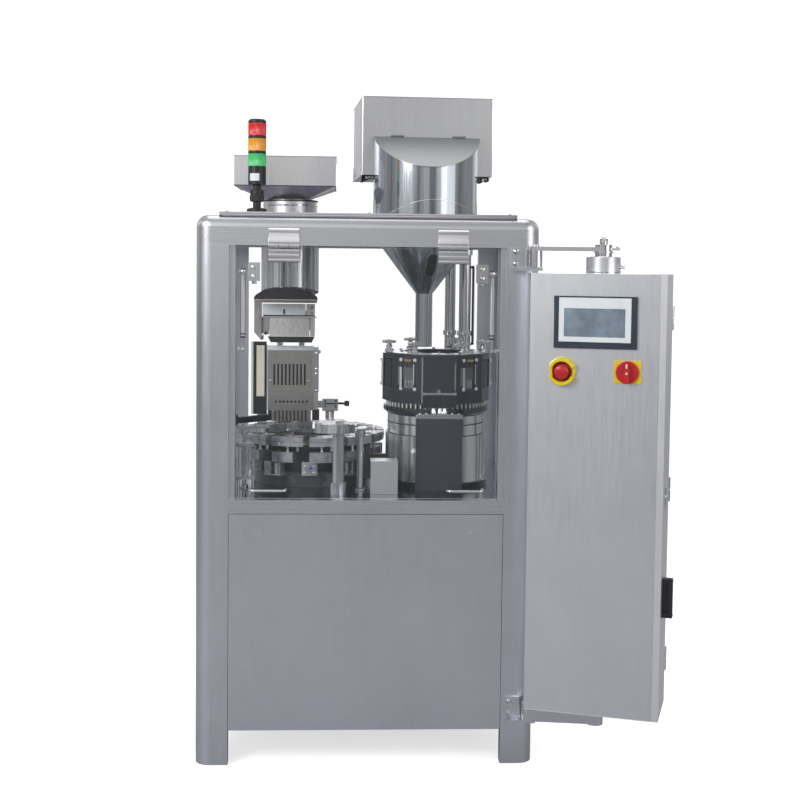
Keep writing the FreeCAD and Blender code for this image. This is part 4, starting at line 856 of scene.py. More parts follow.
def turret():
    """Capsule bores, screws, guide pins and forks of the twelve stations."""
    upper_foot, upper_top = foot_of("upper_segments"), top_of("upper_segments")
    lower_foot, lower_top = foot_of("lower_segments"), top_of("lower_segments")
    bores, screws, pins, forks, caps = shapes(TURRET, 5)
    plates, blues = shapes(TURRET, 2)
    low_head = [(0, 0), (4.6, 0), (4.6, 0.9), (4, 1.5), (2.6, 1.5, 6), (2.6, 0.4, 6), (0, 0.4)]
    for k in range(STATIONS):
        out = spin(360 / STATIONS * k)
        # Dark discs for the capsule bores: painted shade inside the holes.
        for row in (201, 213):
            for i in range(9):
                a = math.radians((i - 4) * 2.35)
                at = out @ stand(*polar(row, a, upper_top - 0.3))
                bores.rod(3.5, 0, 0.6, at, 12)
        for a in (-10.5, 10.5):
            spot = out @ spin(a)
            for x in (228, 183):
                screws.lathe(low_head, spot @ stand(x, 0, upper_top), 24)
            rod = spot @ stand(206, 0, 0)
            pins.rod(5, lower_top, upper_foot, rod, 16)
        middle = (upper_foot + upper_top) / 2
        bores.lathe(
            [(236.5, middle - 0.7), (238.25, middle - 0.7), (238.25, middle + 0.7), (236.5, middle + 0.7)],
            out, 16, -12.4, 24.8,
        )
        plates.lathe(
            [
                (186, upper_top), (194, upper_top), (194, upper_top + 1.2), (186, upper_top + 1.2)
            ], out, 12, -6, 12
        )
        foot = lower_foot - 44
        if k % 2 == 0:
            forks.box((206, -30, foot + 4), (232, -8, lower_foot), out)
            forks.box((206, 22, foot + 4), (232, 28, lower_foot), out)
            forks.box((198, -31, foot), (234, 29, foot + 5), out)
            caps.rod(9, 0, 34, out @ stand(216, 7, foot + 5), 24)
            for y in (-20, 16):
                place = out @ aim((232.2, y, foot + 12), (1, 0, 0))
                screws.lathe([(0, 0), (3, 0), (3, 1.6), (1.7, 2, 6), (1.7, 0.6, 6), (0, 0.6)], place, 24)
            place = out @ aim((238.2, -26 if k % 4 else 30, upper_foot + 8), (1, 0, 0))
            screws.lathe([(0, 0), (4, 0), (4, 2.6), (2.2, 3, 6), (2.2, 1, 6), (0, 1)], place, 24)
        else:
            forks.box((214, -24, foot + 2), (220, 24, lower_foot), out)
            forks.box((190, -24, foot + 2), (214, -19, lower_foot), out)
            forks.box((190, 19, foot + 2), (214, 24, lower_foot), out)
            for y in (-14, 14):
                for z in (foot + 12, foot + 32):
                    place = out @ aim((220.2, y, z), (1, 0, 0))
                    screws.lathe(
                        [(0, 0), (3.4, 0), (3.4, 2), (1.9, 2.4, 6), (1.9, 0.8, 6), (0, 0.8)], place, 24
                    )
            place = out @ aim((220.2, 3, foot + 26), (1, 0, 0))
            blues.lathe([(0, 0), (4.4, 0), (4.4, 2), (2.6, 3), (0, 3)], place, 20)
            caps.rod(7, 0, 26, out @ stand(203, 0, foot + 8), 24)
    bores.done("segment_bores", "turret", "dark", "black_plastic")
    screws.done("segment_screws", "turret", "chrome", "chrome")
    pins.done("segment_guide_rods", "turret", "polished", "polished")
    forks.done("segment_forks", "turret", "segment_steel", "tool_steel", 0.8)
    caps.done("segment_rollers", "turret", "aluminium", "aluminium", 0.5)
    plates.done("segment_strips", "turret", "graphite", "tool_steel")
    blues.done("segment_air_plugs", "turret", "blue", "motor_paint")
    hub = Shape(TURRET)
    top = top_of("turret_drum")
    for k in range(6):
        angle = math.radians(60 * k)
        hub.cap_screw(polar(40, angle, top), (0, 0, 1), 5, 5)
    deck = 938.0
    for k in range(STATIONS):
        angle = math.radians(30 * k + 15)
        hub.cap_screw(polar(150, angle, deck), (0, 0, 1), 5, 5)
        hub.cap_screw(polar(110, angle, deck), (0, 0, 1), 4, 4)
    hub.done("turret_screws", "turret", "tool_steel", "tool_steel")
    Shape(TURRET).lathe([(60, deck), (100, deck), (98, deck + 4), (62, deck + 6)], IDENTITY, 64).done(
        "turret_cover_ring", "turret", "anthracite", "anthracite"
    )


def stations():
    """The linkages, rods and plates round the turret."""
    top = top_of("closing_station")
    bright, dark, rods, blue = shapes(MACHINE, 4)
    bright.cap_screw((-85, -323, top), (0, 0, 1), 9, 7)
    for x, y in ((-140, -346), (-72, -346), (-72, -290), (-118, -232), (-104, -228)):
        bright.cap_screw((x, y, top), (0, 0, 1), 5, 4)
    bright.ring(17.5, 21, TABLE + 35, TABLE + 39, stand(-85, -323), 32)
    for x, y, r in ((-18, -252, 11), (-384, -198, 10)):
        bright.lathe(
            [(r, TABLE), (r + 7, TABLE), (r + 7, TABLE + 6), (r + 2, TABLE + 9), (r, TABLE + 9)],
            stand(x, y), 32,
        )
        bright.ring(r, r + 5, 972, 987, stand(x, y), 32)
        bright.cap_screw((x, y, 990), (0, 0, 1), r * 0.7, 5)
    rods.box((-402, -262, TABLE + 34), (-340, -232, TABLE + 42))
    rods.box((-402, -262, TABLE + 136), (-346, -232, TABLE + 146))
    for k in range(6):
        rods.rod(2.4, TABLE + 42, TABLE + 136, stand(-394 + 10 * k, -247), 12)
    for x in (-396, -350):
        rods.rod(5, TABLE, TABLE + 34, stand(x, -247), 16)
    rods.done("reject_station", "machine", "tool_steel", "tool_steel", 0.5)
    arm = [(-436, 62), (-424, 52), (-330, 128), (-318, 150), (-330, 158), (-345, 150)]
    dark.prism(arm, 972, 992)
    dark.box((-441, 50, 964), (-421, 78, 1000))
    dark.done("magazine_link_arm", "machine", "black_metal", "black_metal", 1.0)
    blue.lathe([(0, 0), (7, 0), (7, 6), (4, 9), (0, 9)], aim((-431, 49.8, 984), (0, -1, 0)), 24)
    blue.done("link_blue_plug", "machine", "blue", "motor_paint")
    link = [(-404, -214), (-392, -226), (-300, -205), (-292, -190), (-302, -182), (-380, -190)]
    bright.prism(link, 990.4, 1000)
    bright.cap_screw((-306, -194, 1000), (0, 0, 1), 5, 4)
    bright.cap_screw((-384, -205, 1000), (0, 0, 1), 6, 5)
    link = [(-30, -262), (-6, -262), (20, -196), (8, -184), (-20, -200)]
    bright.prism(link, 990.4, 998)
    bright.cap_screw((6, -198, 998), (0, 0, 1), 5, 4)
    bright.done("station_linkages", "machine", "tool_steel", "tool_steel", 0.8)
    side = Shape(MACHINE)
    side.box((-12, -228, 888), (66, -206, 914))
    side.box((-12, -228, 836), (16, -206, 888))
    side.box((40, -228, 852), (58, -206, 888))
    side.prism([(-20, 836), (-10, 840), (-10, 876), (-20, 872)], -226, -208, ALONG_Y)
    side.rod(4, 0, 40, aim((-4, -217, 868), (1, 0, 0)), 16)
    side.done("clearing_bracket", "machine", "graphite_warm", "black_metal", 1.2)
    Shape(TURRET).lathe(
        [(194.1, TABLE), (195.4, TABLE), (195.4, TABLE + 1.2), (194.1, TABLE + 1.8)], IDENTITY, 96
    ).done(
        "turret_base_seal", "machine", "dark", "black_plastic"
    )
    block = Shape(MACHINE)
    cylinder_at = stand(-240, 246)
    block.lathe(
        [(0, TABLE), (16, TABLE), (16, TABLE + 14), (12, TABLE + 18), (12, 950), (0, 950)], cylinder_at, 32
    )
    block.done("rear_guide_post", "machine", "polished", "polished")


# ---------------------------------------------------------------- dosing station

def dosing():
    """Dark skirt and platen rim, the front cover's bright rim and its nozzles."""
    skirt = Shape(DOSING)
    ring = [(169.2, TABLE + 0.2), (169.8, TABLE + 0.2), (169.8, TABLE + 16.4), (165.6, TABLE + 18.6)]
    ring += [(165.2, TABLE + 18.3), (169.2, TABLE + 16)]
    skirt.lathe(ring, IDENTITY, 96)
    skirt.done("dosing_skirt", "machine", "black_metal", "black_metal")
    top = top_of("dosing_bowl")
    rim = Shape(DOSING)
    profile = [(155.6, top - 24.6), (168.8, top - 13.2), (168.8, top + 0.3), (160, top + 0.3)]
    profile += [(160, top + 0.05), (168.2, top + 0.05), (168.2, top - 12.9), (155.4, top - 24.2)]
    rim.lathe(profile, IDENTITY, 96)
    rim.done("platen_rim", "dosing", "dark_steel", "tool_steel")
    bands = Shape(DOSING)
    for z in (top - 52, top - 86):
        bands.ring(155, 155.4, z - 1.2, z + 1.2, IDENTITY, 96)
    bands.done("bowl_grooves", "dosing", "dark", "black_plastic")
    x0, y, _, x1, _, z = span("dosing_cover")
    trim, screws, nozzles = shapes(MACHINE, 3)
    outline = [
        (x0 - 2, z - 9), (x1 + 2, z - 9), (x1 + 2, z - 4), (x1 - 5, z + 6), (x0 + 5, z + 6),
        (x0 - 2, z - 4),
    ]
    trim.prism(outline, y - 3, y - 0.2, ALONG_Y)
    trim.box((x0 - 2, y - 2.6, z + 0.2), (x1 + 2, y + 16, z + 3))
    trim.done("cover_rim", "machine", "tool_steel", "tool_steel", 0.6)
    for x in (x0 + 12, x0 + 32, x1 - 32, x1 - 12):
        screws.cap_screw((x, y + 7, z + 3), (0, 0, 1), 4.5, 5)
    screws.done("cover_screws", "machine", "tool_steel", "tool_steel")
    middle = (x0 + x1) / 2
    for x in (middle - 18, middle + 2, middle + 17):
        nozzles.lathe(
            [(0, z + 3), (8, z + 3), (8, z + 16), (6, z + 19), (6, z + 25), (0, z + 25)], stand(x, y + 6),
            24,
        )
    nozzles.done("cover_nozzles", "machine", "chrome", "chrome", 0.4)
    cx0, cy, _, cx1, _, cz = span("discharge_chute")
    hood = Shape(MACHINE)
    hood.box((cx0 - 1, cy - 1.4, TABLE + 0.5), (cx1 + 1, cy - 0.2, cz + 1))
    hood.box((cx0 - 1, cy - 0.2, cz + 0.2), (cx1 + 1, cy + 66, cz + 1.2))
    hood.done("discharge_front_sheet", "machine", "box_sheet", "aluminium", 0.5)


def head():
    """Windows, springs, strips and screws in the facets of the tamping head."""
    foot, top = foot_of("tamping_head"), top_of("tamping_head")
    face = 172.5 * math.cos(math.pi / FACETS)
    window, white, brass, inner, steel, black, bright = shapes(DOSING, 7)
    for k in (1, 4, 6, 9):
        at = spin(36 * k)
        base = foot + 46
        window.box((-34, -face - 2.2, base - 7), (34, -face - 0.3, base + 98), at)
        for x in (-26, 26):
            for z in (base, base + 91):
                place = at @ aim((x, -face - 2.2, z), (0, -1, 0))
                white.lathe([(0, 0), (5.6, 0), (5.6, 1.6), (3.6, 3.4), (0, 3.4)], place, 20)
        brass.box((-13, -face - 4, base + 86), (13, -face - 2.2, base + 93), at)
        inner.box((-21, -face + 4, base + 29), (19, -face + 22, base + 67), at)
        inner.box((-19, -face + 10, base + 67), (17, -face + 22, base + 90), at)
        for x in (-11, 9):
            place = at @ stand(x, -face + 6, base + 67)
            black.rod(6.5, 0, 22, place, 16)
        for x in (-14, -2, 10):
            bright.spring(at @ stand(x, -face + 6, base + 1), 4.2, 1.3, 28, 5)
            place = at @ stand(x, -face + 9, base)
            steel.rod(2, 0, 30, place, 10)
        bright.box((-30, -face - 3.6, base + 6), (-22.5, -face - 2.3, base + 68), at)
        bright.box((20.5, -face - 3.6, base + 14), (23.5, -face - 2.3, base + 78), at)
        for i in range(8):
            white.box((-36.5, -face - 1.4, base + 14 + 7 * i), (-34.6, -face - 0.3, base + 17 + 7 * i), at)
        # A dark back wall in each window: painted shade inside the head.
        black.box((-28.8, -face + 22.5, base + 0.3), (28.8, -face + 24.5, base + 91.7), at)
    for k in (1, 3):
        at = spin(90 * k)
        bright.box((-17, -176, foot + 46), (17, -171.6, foot + 134), at)
        for x in (-11, 11):
            for z in (52, 128):
                bright.cap_screw(at @ Vector((x, -176, foot + z)), at.to_3x3() @ Vector((0, -1, 0)), 3.5, 4)
    bright.done("head_window_strips", "tamping", "pale_steel", "tool_steel")
    window.done("head_windows", "tamping", "window", "clear", 0.6)
    white.done("head_white_buttons", "tamping", "white_plastic", "clear")
    brass.done("head_brass_strips", "tamping", "brass", "tool_steel", 0.4)
    inner.done("head_inner_blocks", "tamping", "inner_grey", "anthracite", 0.8)
    black.done("head_inner_dark", "tamping", "dark", "black_plastic")
    ring = [(104, top + 0.1), (104, top + 2.6), (168, top + 2.6, 10), (168, top + 0.1, 10)]
    steel.lathe(ring, IDENTITY, 120)
    steel.box((-50, -face - 15, foot + 31), (50, -face - 0.3, foot + 38))
    for x in (-48, 48):
        steel.rod(5, 0, 9, aim((x, -face - 15.4, foot + 34.5), (0, 1, 0)), 20)
    steel.hex_nut((-3, -face - 8, foot + 38), (0, 0, 1), 9, 9)
    steel.box((-57, -face - 2.4, foot + 4), (-51.5, -face - 0.3, top - 8))
    steel.box((48.5, -face - 2.0, foot + 44), (51, -face - 0.3, top - 22))
    for k in range(11):
        steel.box((45.4, -face - 1.6, foot + 48 + 7 * k), (48.6, -face - 0.3, foot + 51.5 + 7 * k))
    for k in range(10):
        angle = math.radians(36 * k + 18)
        steel.cap_screw(polar(118, angle, top + 2.6), (0, 0, 1), 5, 5)
    steel.done("head_bright_parts", "tamping", "tool_steel", "tool_steel", 0.4)
    block = Shape(DOSING)
    block.box((-50, -face - 13, foot - 9), (50, -face - 0.3, foot + 31))
    for k in (2, 3, 7, 8):
        at = spin(36 * k)
        block.box((-30, -face - 1.2, foot + 45), (30, -face + 3, foot + 138), at)
        for x in (-25, 25):
            for z in (foot + 50, foot + 133):
                block.cap_screw(at @ Vector((x, -face - 1.2, z)), at.to_3x3() @ Vector((0, -1, 0)), 3.0, 2)
    block.done("head_front_block", "tamping", "graphite", "anthracite", 1.2)
    ticks = Shape(DOSING)
    for k in range(60):
        angle = 2 * math.pi * (k + 0.5) / 60
        place = stand(*polar(159, angle))
        ticks.rod(2.3, foot - 15.5, foot - 0.3, place, 10)
    ticks.done("head_outer_pins", "tamping", "white_plastic", "chrome")
    line = Shape(DOSING)
    for z in (foot + 31, top - 9):
        line.lathe(
            [(172.3, z, 10), (172.75, z, 10), (172.75, z + 1.1, 10), (172.3, z + 1.1, 10)], IDENTITY, 120
        )
    line.done("head_parting_lines", "tamping", "dark", "black_plastic")
    knobs = Shape(DOSING)
    cap = top_of("tamping_knobs")
    for k in range(6):
        at = spin(60 * k) @ stand(152, 0, 0)
        knobs.lathe([
            (10, cap - 9.4), (21.8, cap - 8.6, -26), (21.8, cap - 1.4, -26), (19, cap + 0.6),
            (10, cap + 0.6),
        ], at, 104)
        knobs.lathe([(0, cap), (7, cap), (7, cap + 2.5), (4, cap + 3.5), (0, cap + 3.5)], at, 24)
        knobs.lathe(
            [(6, cap - 24), (9.5, cap - 24), (10.5, cap - 18), (8, cap - 14), (6.2, cap - 9.4)], at, 32
        )
        knobs.lathe([(6, top + 4), (14, top + 4, 6), (14, top + 10, 6), (6, top + 10)], at, 24)
        place = at @ aim((0, 0, top + 8), (0.3, -0.95, 0))
        knobs.rod(4.5, 12, 23, place, 16)
    knobs.done("knob_grips", "tamping", "chrome", "chrome", 0.3)


def columns():
    """Collars on the two columns and the toothed strip beside the thicker one."""
    collars, strip = shapes(MACHINE, 2)
    for x, y, r in ((291, 160, 18), (338, 124, 20)):
        at = stand(x, y)
        collars.lathe(
            [(r, TABLE), (r + 9, TABLE), (r + 9, TABLE + 10), (r + 2, TABLE + 14), (r, TABLE + 14)], at, 48
        )
        collars.ring(r, r + 5, 1540, 1558, at, 48)
        collars.lathe([(r, 1268), (r + 4, 1268), (r + 5, 1272), (r + 5, 1284), (r, 1284)], at, 48)
        collars.cap_screw((x, y - r - 5, 1278), (0, -1, 0), 3.5, 4)
    collars.done("column_collars", "machine", "chrome", "chrome", 0.4)
    strip.box((362, 116, 1236), (368, 132, 1505))
    for k in range(32):
        strip.box((368, 117, 1240 + 8.2 * k), (371, 131, 1244 + 8.2 * k))
    strip.box((356, 118, 1236), (362, 130, 1244))
    strip.box((356, 118, 1495), (362, 130, 1503))
    strip.done("column_toothed_strip", "machine", "black_metal", "black_metal", 0.3)


# ---------------------------------------------------------------- powder feed

def hopper():
    """The cone's oval window filled with painted shade, welds and the black fittings under the feed box."""
    z = 1506.0
    radius = 27.5 + (z - 1413) * 141.5 / 187
    slope = Vector((0, -0.603, 0.798))
    out = Vector((0, -0.798, -0.603))
    seat = Matrix.Rotation(math.radians(5.5), 4, "Z") @ Matrix((
        (1, slope.x, out.x, 0), (0, slope.y, out.y, -radius), (0, slope.z, out.z, z), (0, 0, 0, 1)
    ))
    oval, hole = [], []
    for k in range(24):
        angle = 2 * math.pi * k / 24
        shift = 29 if math.sin(angle) >= 0 else -29
        oval.append((18.5 * math.cos(angle), 18.5 * math.sin(angle) + shift))
        hole.append((14.5 * math.cos(angle), 14.5 * math.sin(angle) + shift))
    frame_ring, glass = shapes(HOPPER, 2)
    n = len(oval)
    points = [(x, y, h) for h in (-3, 2.2) for x, y in oval] + [
        (x, y, h) for h in (-3, 2.2) for x, y in hole
    ]
    faces = []
    for i in range(n):
        j = (i + 1) % n
        faces += [(i, j, n + j, n + i), (2 * n + j, 2 * n + i, 3 * n + i, 3 * n + j)]
        faces += [(n + i, n + j, 3 * n + j, 3 * n + i), (j, i, 2 * n + i, 2 * n + j)]
    frame_ring.add(points, faces, seat)
    frame_ring.done("cone_window_frame", "machine", "polished", "polished", 0.4)
    # An opaque dark pane in the window: painted shade of the hopper's inside.
    glass.prism([(x, y) for x, y in hole], -2.5, 1.0, seat)
    glass.done("cone_window", "machine", "rubber", "black_plastic", 0.5)
    weld = Shape(HOPPER)
    path = []
    for k in range(41):
        x = -126 + 278 * k / 40
        height = 1668 + 43 * (1 - ((x - 13) / 139) ** 2)
        path.append((x, -math.sqrt(169.4 ** 2 - x * x), height))
    weld.tube(path, 1.5, IDENTITY, 8)
    weld.lathe([(168.6, 1659), (170.6, 1659), (170.2, 1661.4), (168.6, 1661.4)], IDENTITY, 96)
    weld.done("hopper_welds", "machine", "polished", "polished")
    foot = 1793.0
    fittings, bright = shapes(HOPPER, 2)
    for x0, x1, y0 in ((-201, -165, -14), (178, 206, -12)):
        fittings.box((x0, y0, foot - 4), (x1, y0 + 60, foot - 0.3))
        fittings.box((x0, y0, foot - 20), (x0 + 5, y0 + 60, foot - 4))
        fittings.box((x1 - 5, y0, foot - 15), (x1, y0 + 60, foot - 4))
        fittings.tube([(x0, y0 + 4, foot - 18), (x1, y0 + 4, foot - 6)], 2.2, IDENTITY, 8)
        for k in range(3):
            bright.cap_screw((x0 + 7 + 10 * k, y0 - 0.2, foot - 8), (0, -1, 0), 3.4, 4)
    fittings.box((-207, 10, foot - 22), (-201, 50, foot - 0.3))
    fittings.done("feed_box_brackets", "machine", "black_metal", "black_metal", 0.4)
    bright.done("feed_box_screws", "machine", "chrome", "chrome")
    hem = Shape(HOPPER)
    width, depth, top = 421, 409, top_of("feed_drive_box")
    x0, y0 = -width / 2 + 4, -20
    corners = [(x0, y0), (x0 + width, y0), (x0 + width, y0 + depth), (x0, y0 + depth), (x0, y0)]
    for (a, b), (c, d) in zip(corners, corners[1:]):
        for z in (foot + 0.6, top - 1.2):
            hem.tube([(a, b, z), (c, d, z)], 1.3, IDENTITY, 8)
    for a, b in corners[:4]:
        hem.tube([(a, b, foot), (a, b, top)], 1.3, IDENTITY, 8)
    hem.done("feed_box_folds", "machine", "stainless_beam", "stainless")
    screws = Shape(HOPPER)
    for side, x in ((-1, x0 - 0.1), (1, x0 + width + 0.1)):
        for y in (y0 + 40, y0 + depth - 40):
            for z in (foot + 20, top - 20):
                screws.button_screw((x, y, z), (side, 0, 0), 5, 2.5)
    screws.done("feed_box_cover_screws", "machine", "tool_steel", "tool_steel")


# ---------------------------------------------------------------- control cabinet

def panel():
    """The operator panel: dark bezel, pale inner frame and grey screen."""
    face = CABINET_FACE
    bezel, pale, screen = shapes(CABINET, 3)
    bezel.box((-125, face - 6, 1274), (113, face - 0.3, 1423))
    bezel.box((-125, face - 8, 1274), (-111, face - 6, 1423))
    bezel.box((96, face - 8, 1274), (113, face - 6, 1423))
    bezel.box((-111, face - 8, 1274), (96, face - 6, 1292.5))
    bezel.box((-111, face - 8, 1419.5), (96, face - 6, 1423))
    bezel.done("panel_bezel", "cabinet", "bezel", "panel_glass", 0.8, 34, ("operator_panel",))
    pale.box((-111, face - 7.4, 1292.5), (96, face - 6, 1307))
    pale.box((-111, face - 7.4, 1389), (96, face - 6, 1419.5))
    pale.box((-111, face - 7.4, 1307), (-96, face - 6, 1389))
    pale.box((79, face - 7.4, 1307), (96, face - 6, 1389))
    pale.done("panel_pale_frame", "cabinet", "pale_plastic", "panel_glass", 0.3)
    screen.box((-96, face - 6.6, 1307), (79, face - 6, 1389))
    screen.done("panel_screen", "cabinet", "screen", "panel_glass")


def controls():
    """The stop button in its guard and the main switch on its plate."""
    face = CABINET_FACE
    yellow = Shape(CABINET)
    at = aim((-98, face, 1206), (0, -1, 0))
    for start in (22, 202):
        yellow.lathe(
            [(27, 0), (40, 0), (41.5, 4), (41.5, 20), (39, 26), (30, 26), (27.5, 12)], at, 24, start, 136
        )
    for start in (-22, 158):
        yellow.lathe([(27, 0), (38, 0), (38, 11), (35, 13), (29, 13), (27.5, 11)], at, 10, start, 44)
    yellow.ring(23, 27.5, 0, 3, at, 48)
    plate = [
        (52, 1176), (124, 1176), (127, 1179), (127, 1239), (124, 1242), (52, 1242), (49, 1239), (49, 1179)
    ]
    yellow.prism(plate, face - 5.5, face - 0.2, ALONG_Y)
    yellow.done("yellow_guard_and_plate", "cabinet", "yellow", "yellow", 0.8, 34, ("yellow_surrounds",))
    stop = Shape(CABINET)
    profile = [(0, 7), (9, 7), (9, 17), (17, 19), (21, 23), (21.4, 28), (19, 32), (14, 34), (0, 34.6)]
    stop.lathe(profile, at, 48)
    stop.done("stop_mushroom", "stop", "red", "red", 0, 50, ("stop_button",))
    well = Shape(CABINET)
    well.ring(9.6, 23, 0.2, 5, at, 48)
    well.lathe([(23.5, 5), (27, 3), (27.3, 20), (26.9, 20), (23.4, 6)], at, 48)
    well.done("stop_well", "cabinet", "orange_red", "red")
    knob = Shape(CABINET)
    turn = aim((88, face, 1209), (0, -1, 0))
    knob.lathe([(0, 6.6), (31, 6.6), (33, 8), (33, 12.5), (31, 14.5), (0, 14.5)], turn, 64)
    grip = [(-7, -31), (7, -31), (8.5, -10), (6, 14), (3.5, 27), (-3.5, 27), (-6, 14), (-8.5, -10)]
    upright = stand(88, 0, 1209) @ ALONG_Y
    knob.prism([(x, z) for x, z in grip], face - 32, face - 14, upright)
    knob.done("switch_grip", "main_switch", "red", "red", 1.6, 34, ("switch_knob",))
    mark = Shape(CABINET)
    mark.box((85.8, face - 32.5, 1222), (90.2, face - 31.9, 1234))
    mark.lathe(
        [(0, 0), (3.4, 0), (3.4, 0.9), (1.6, 1.1), (1.6, 0.4), (0, 0.4)],
        aim((88, face - 31.9, 1207), (0, -1, 0)), 20,
    )
    mark.done("switch_pointer", "main_switch", "white_plastic", "clear")


def cabinet():
    """The side lock, folded edges and fittings of the cabinet, and the hubs of its arms."""
    foot, top = foot_of("cabinet_side_door"), top_of("cabinet_side_door")
    face, right = CABINET_FACE, 195.0
    lock = Shape(CABINET)
    side = aim((right + 0.1, -48, 848), (1, 0, 0))
    lock.box((right + 0.1, -58, 812), (right + 2.5, -38, 884))
    lock.box((right + 2.5, -54, 826), (right + 6, -42, 876))
    lock.lathe([(0, 2), (8, 2), (8, 8), (5, 10), (0, 10)], side, 28)
    lock.done("side_lock", "side_door", "chrome", "chrome", 0.6)
    ends = Shape(CABINET)
    for z in (504, 604):
        ends.button_screw((right + 30.1, -49, z), (1, 0, 0), 4, 2)
    ends.done("side_handle_screws", "side_door", "tool_steel", "tool_steel")
    Shape(CABINET).box((right + 0.1, -51.5, 507), (right + 27, -46.5, 601)).done(
        "side_handle_web", "side_door", "black_plastic", "black_plastic", 0.8
    )
    hinges = Shape(local(Vector((*JOINT["side_door_open"]["pos_m"][:2], 0)), CABINET_YAW))
    for z in (foot + 130, (foot + top) / 2, top - 130):
        for start in (z - 36, z + 1):
            hinges.rod(5, start, start + 35, IDENTITY, 24)
    hinges.done("side_door_hinges", "cabinet", "chrome", "chrome", 0.5)
    folds = Shape(CABINET)
    for a, b in ((-195, face), (-195, 103)):
        folds.tube([(a, b, foot + 1), (a, b, top - 1)], 1.0, IDENTITY, 10)
    for z in (top - 0.6, foot + 0.6):
        folds.tube([(-194, face, z), (176, face, z)], 1.0, IDENTITY, 10)
    folds.done("cabinet_folds", "cabinet", "cabinet_sheet", "stainless")
    boss = Shape(CABINET)
    boss.ring(50, 50.5, top + 2, top + 6, IDENTITY, 64)
    boss.lathe([(26, top + 48.1), (44, top + 48.1), (42, top + 49.5), (26, top + 49.5)], IDENTITY, 64)
    boss.lathe([(0, 0), (6, 0), (6, 12), (4.5, 14), (0, 14)], aim((50, -6, top + 20), (1, -0.1, 0)), 24)
    boss.done("boss_ring_and_screw", "cabinet", "chrome", "chrome", 0.3)
    arm_at = Vector(JOINT["arm_swing"]["pos_m"])
    reach = CABINET_AT - arm_at
    arm_yaw = math.atan2(reach.y, reach.x)
    arm = Shape(local((arm_at.x, arm_at.y, 0), arm_yaw))
    length = math.hypot(reach.x, reach.y) / MM
    crown = top_of("swing_arms")
    hub = stand(length, 0)
    arm.rod(15, crown, crown + 2, hub, 32)
    arm.hex_nut((length, 0, crown + 2), (0, 0, 1), 12, 8)
    arm.lathe(
        [(0, crown + 10), (6, crown + 10), (6, crown + 14), (4, crown + 16), (0, crown + 16)], hub, 20
    )
    arm.ring(25, 29, 1548, 1552, hub, 48)
    arm.box((length + 22, -7, 1556), (length + 48, 7, 1563))
    arm.cap_screw((length + 40, 0, 1563), (0, 0, 1), 5, 5)
    arm.done("arm_hub_nut", "arms", "chrome", "chrome", 0.4)
    bolts = Shape(MACHINE)
    for z in (1514, 1550, 159, 195):
        bolts.lathe([(0, 0), (9, 0), (9, 1.5), (8, 2), (0, 2)], aim((435, -440.1, z), (0, -1, 0)), 28)
        bolts.button_screw((435, -442, z), (0, -1, 0), 7, 4.5)
    bolts.done("bracket_screws", "machine", "tool_steel", "tool_steel")


for make in (
    hinges, door_edge, struts, clamps, tower, roof, cladding, bin_details, chute, magazine, adjuster,
    turret, stations, dosing, head, columns, hopper, panel, controls, cabinet,
):
    make()


# ---------------------------------------------------------------- stage, light and camera

def ground():
    """A pale floor, wide enough for every view."""
    mesh = bpy.data.meshes.new("ground")
    build = bmesh.new()
    bmesh.ops.create_grid(build, x_segments=8, y_segments=8, size=14)
    build.to_mesh(mesh)
    build.free()
    item = bpy.data.objects.new("ground", mesh)
    bpy.context.scene.collection.objects.link(item)
    material, tree, shader = new_material("pale_floor", Roughness=0.6)
    clouds = noise(tree, 0.8, (1, 1, 1), 3.0)
    pale = blend_colours(tree, clouds, (0.90, 0.90, 0.905), (0.93, 0.93, 0.93))
    path = tree.nodes.new("ShaderNodeLightPath")
    seen = path.outputs["Is Camera Ray"]
    tree.links.new(blend_colours(tree, seen, (0.37, 0.38, 0.40), pale), shader.inputs["Base Color"])
    shader.inputs["Emission Color"].default_value = (1, 1, 1, 1)
    tree.links.new(spread(tree, seen, 0, 0.62), shader.inputs["Emission Strength"])
    mesh.materials.append(material)
    item.location.z = -0.0005


def soft_light(name, at, towards, size, power, colour=(1, 1, 1)):
    data = bpy.data.lights.new(name, "AREA")
    data.shape = "RECTANGLE"
    data.size, data.size_y = size
    data.energy = power
    data.color = colour
    item = bpy.data.objects.new(name, data)
    item.location = at
    item.rotation_euler = (Vector(towards) - Vector(at)).to_track_quat("-Z", "Y").to_euler()
    bpy.context.scene.collection.objects.link(item)


def grey_ramp(tree, stops, value, blue=1.0):
    """A ramp of greys over a value from -1 to 1, as (place, grey) pairs."""
    ramp = tree.nodes.new("ShaderNodeValToRGB")
    element = ramp.color_ramp.elements
    while len(element) < len(stops):
        element.new(0.5)
    for index, (place, grey) in enumerate(stops):
        element[index].position = place
        element[index].color = (grey, grey, grey * blue, 1)
    tree.links.new(spread(tree, value, 0, 1, -1, 1), ramp.inputs[0])
    return ramp


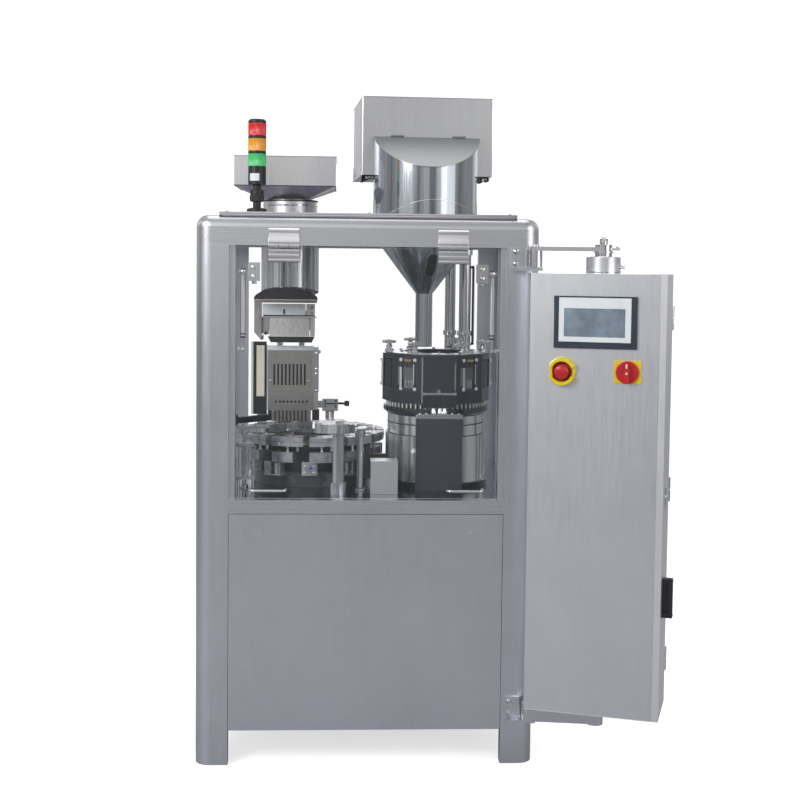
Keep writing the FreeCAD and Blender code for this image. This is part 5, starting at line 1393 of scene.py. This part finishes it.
def studio():
    """A white room seen directly, and a soft gradient with darker corners in the reflections."""
    world = bpy.data.worlds.new("studio")
    bpy.context.scene.world = world
    world.use_nodes = True
    tree = world.node_tree
    tree.nodes.clear()
    out = tree.nodes.new("ShaderNodeOutputWorld")
    coords = tree.nodes.new("ShaderNodeTexCoord")
    split = tree.nodes.new("ShaderNodeSeparateXYZ")
    tree.links.new(coords.outputs["Generated"], split.inputs[0])
    stops = ((0.0, 0.30), (0.40, 0.32), (0.48, 0.38), (0.54, 0.78), (0.66, 0.95), (0.82, 0.55), (1.0, 0.62))
    ramp = grey_ramp(tree, stops, split.outputs["Z"], 1.01)
    walls = (
        (0.0, 0.30), (0.09, 1.20), (0.17, 0.30), (0.26, 1.15), (0.33, 0.40), (0.41, 0.95), (0.53, 0.95),
        (0.57, 0.28), (0.66, 0.24), (0.70, 1.05), (0.78, 0.40), (0.86, 1.25), (0.93, 0.30), (1.0, 0.50),
    )
    side = grey_ramp(tree, walls, split.outputs["X"])
    product = tree.nodes.new("ShaderNodeMix")
    product.data_type = "RGBA"
    product.blend_type = "MULTIPLY"
    product.inputs[0].default_value = 0.85
    tree.links.new(ramp.outputs[0], product.inputs[6])
    tree.links.new(side.outputs[0], product.inputs[7])
    room = tree.nodes.new("ShaderNodeBackground")
    room.inputs[1].default_value = 1.0
    tree.links.new(product.outputs[2], room.inputs[0])
    white = tree.nodes.new("ShaderNodeBackground")
    white.inputs[0].default_value = (1, 1, 1, 1)
    white.inputs[1].default_value = 1.15
    path = tree.nodes.new("ShaderNodeLightPath")
    mix = tree.nodes.new("ShaderNodeMixShader")
    tree.links.new(path.outputs["Is Camera Ray"], mix.inputs[0])
    tree.links.new(room.outputs[0], mix.inputs[1])
    tree.links.new(white.outputs[0], mix.inputs[2])
    tree.links.new(mix.outputs[0], out.inputs[0])


def camera():
    """The camera of the original view: at head height, a little left of the machine's middle."""
    data = bpy.data.cameras.new("camera")
    data.sensor_width = 36.0
    data.lens = 59.67
    data.shift_x = -0.0055
    data.shift_y = -0.0763
    data.clip_end = 60
    yaw, pitch, roll = 0.0485, 0.0597, 0.0113
    ahead = Vector((math.sin(yaw) * math.cos(pitch), math.cos(yaw) * math.cos(pitch), -math.sin(pitch)))
    right = ahead.cross(Vector((0, 0, 1))).normalized()
    up = right.cross(ahead)
    right, up = (
        right * math.cos(roll) + up * math.sin(roll),
        up * math.cos(roll) - right * math.sin(roll),
    )
    item = bpy.data.objects.new("camera", data)
    turn = Matrix((right, up, -ahead)).transposed()
    item.matrix_world = stand(-0.2796, -4.239, 1.5222) @ turn.to_4x4()
    bpy.context.scene.collection.objects.link(item)
    bpy.context.scene.camera = item


ground()
studio()
soft_light("key", (-2.9, -3.0, 3.0), (-0.4, 0, 0.9), (1.8, 1.8), 78)
soft_light("fill", (2.8, -2.6, 2.4), (0.1, 0, 1.1), (2.4, 2.6), 26)
soft_light("top", (-0.2, 0.4, 3.8), (-0.2, 0, 1.0), (2.4, 1.6), 16)
soft_light("rear", (0.4, 3.2, 2.6), (0, 0, 1.2), (2.0, 1.6), 22)
camera()
bpy.context.scene.view_settings.view_transform = "Standard"
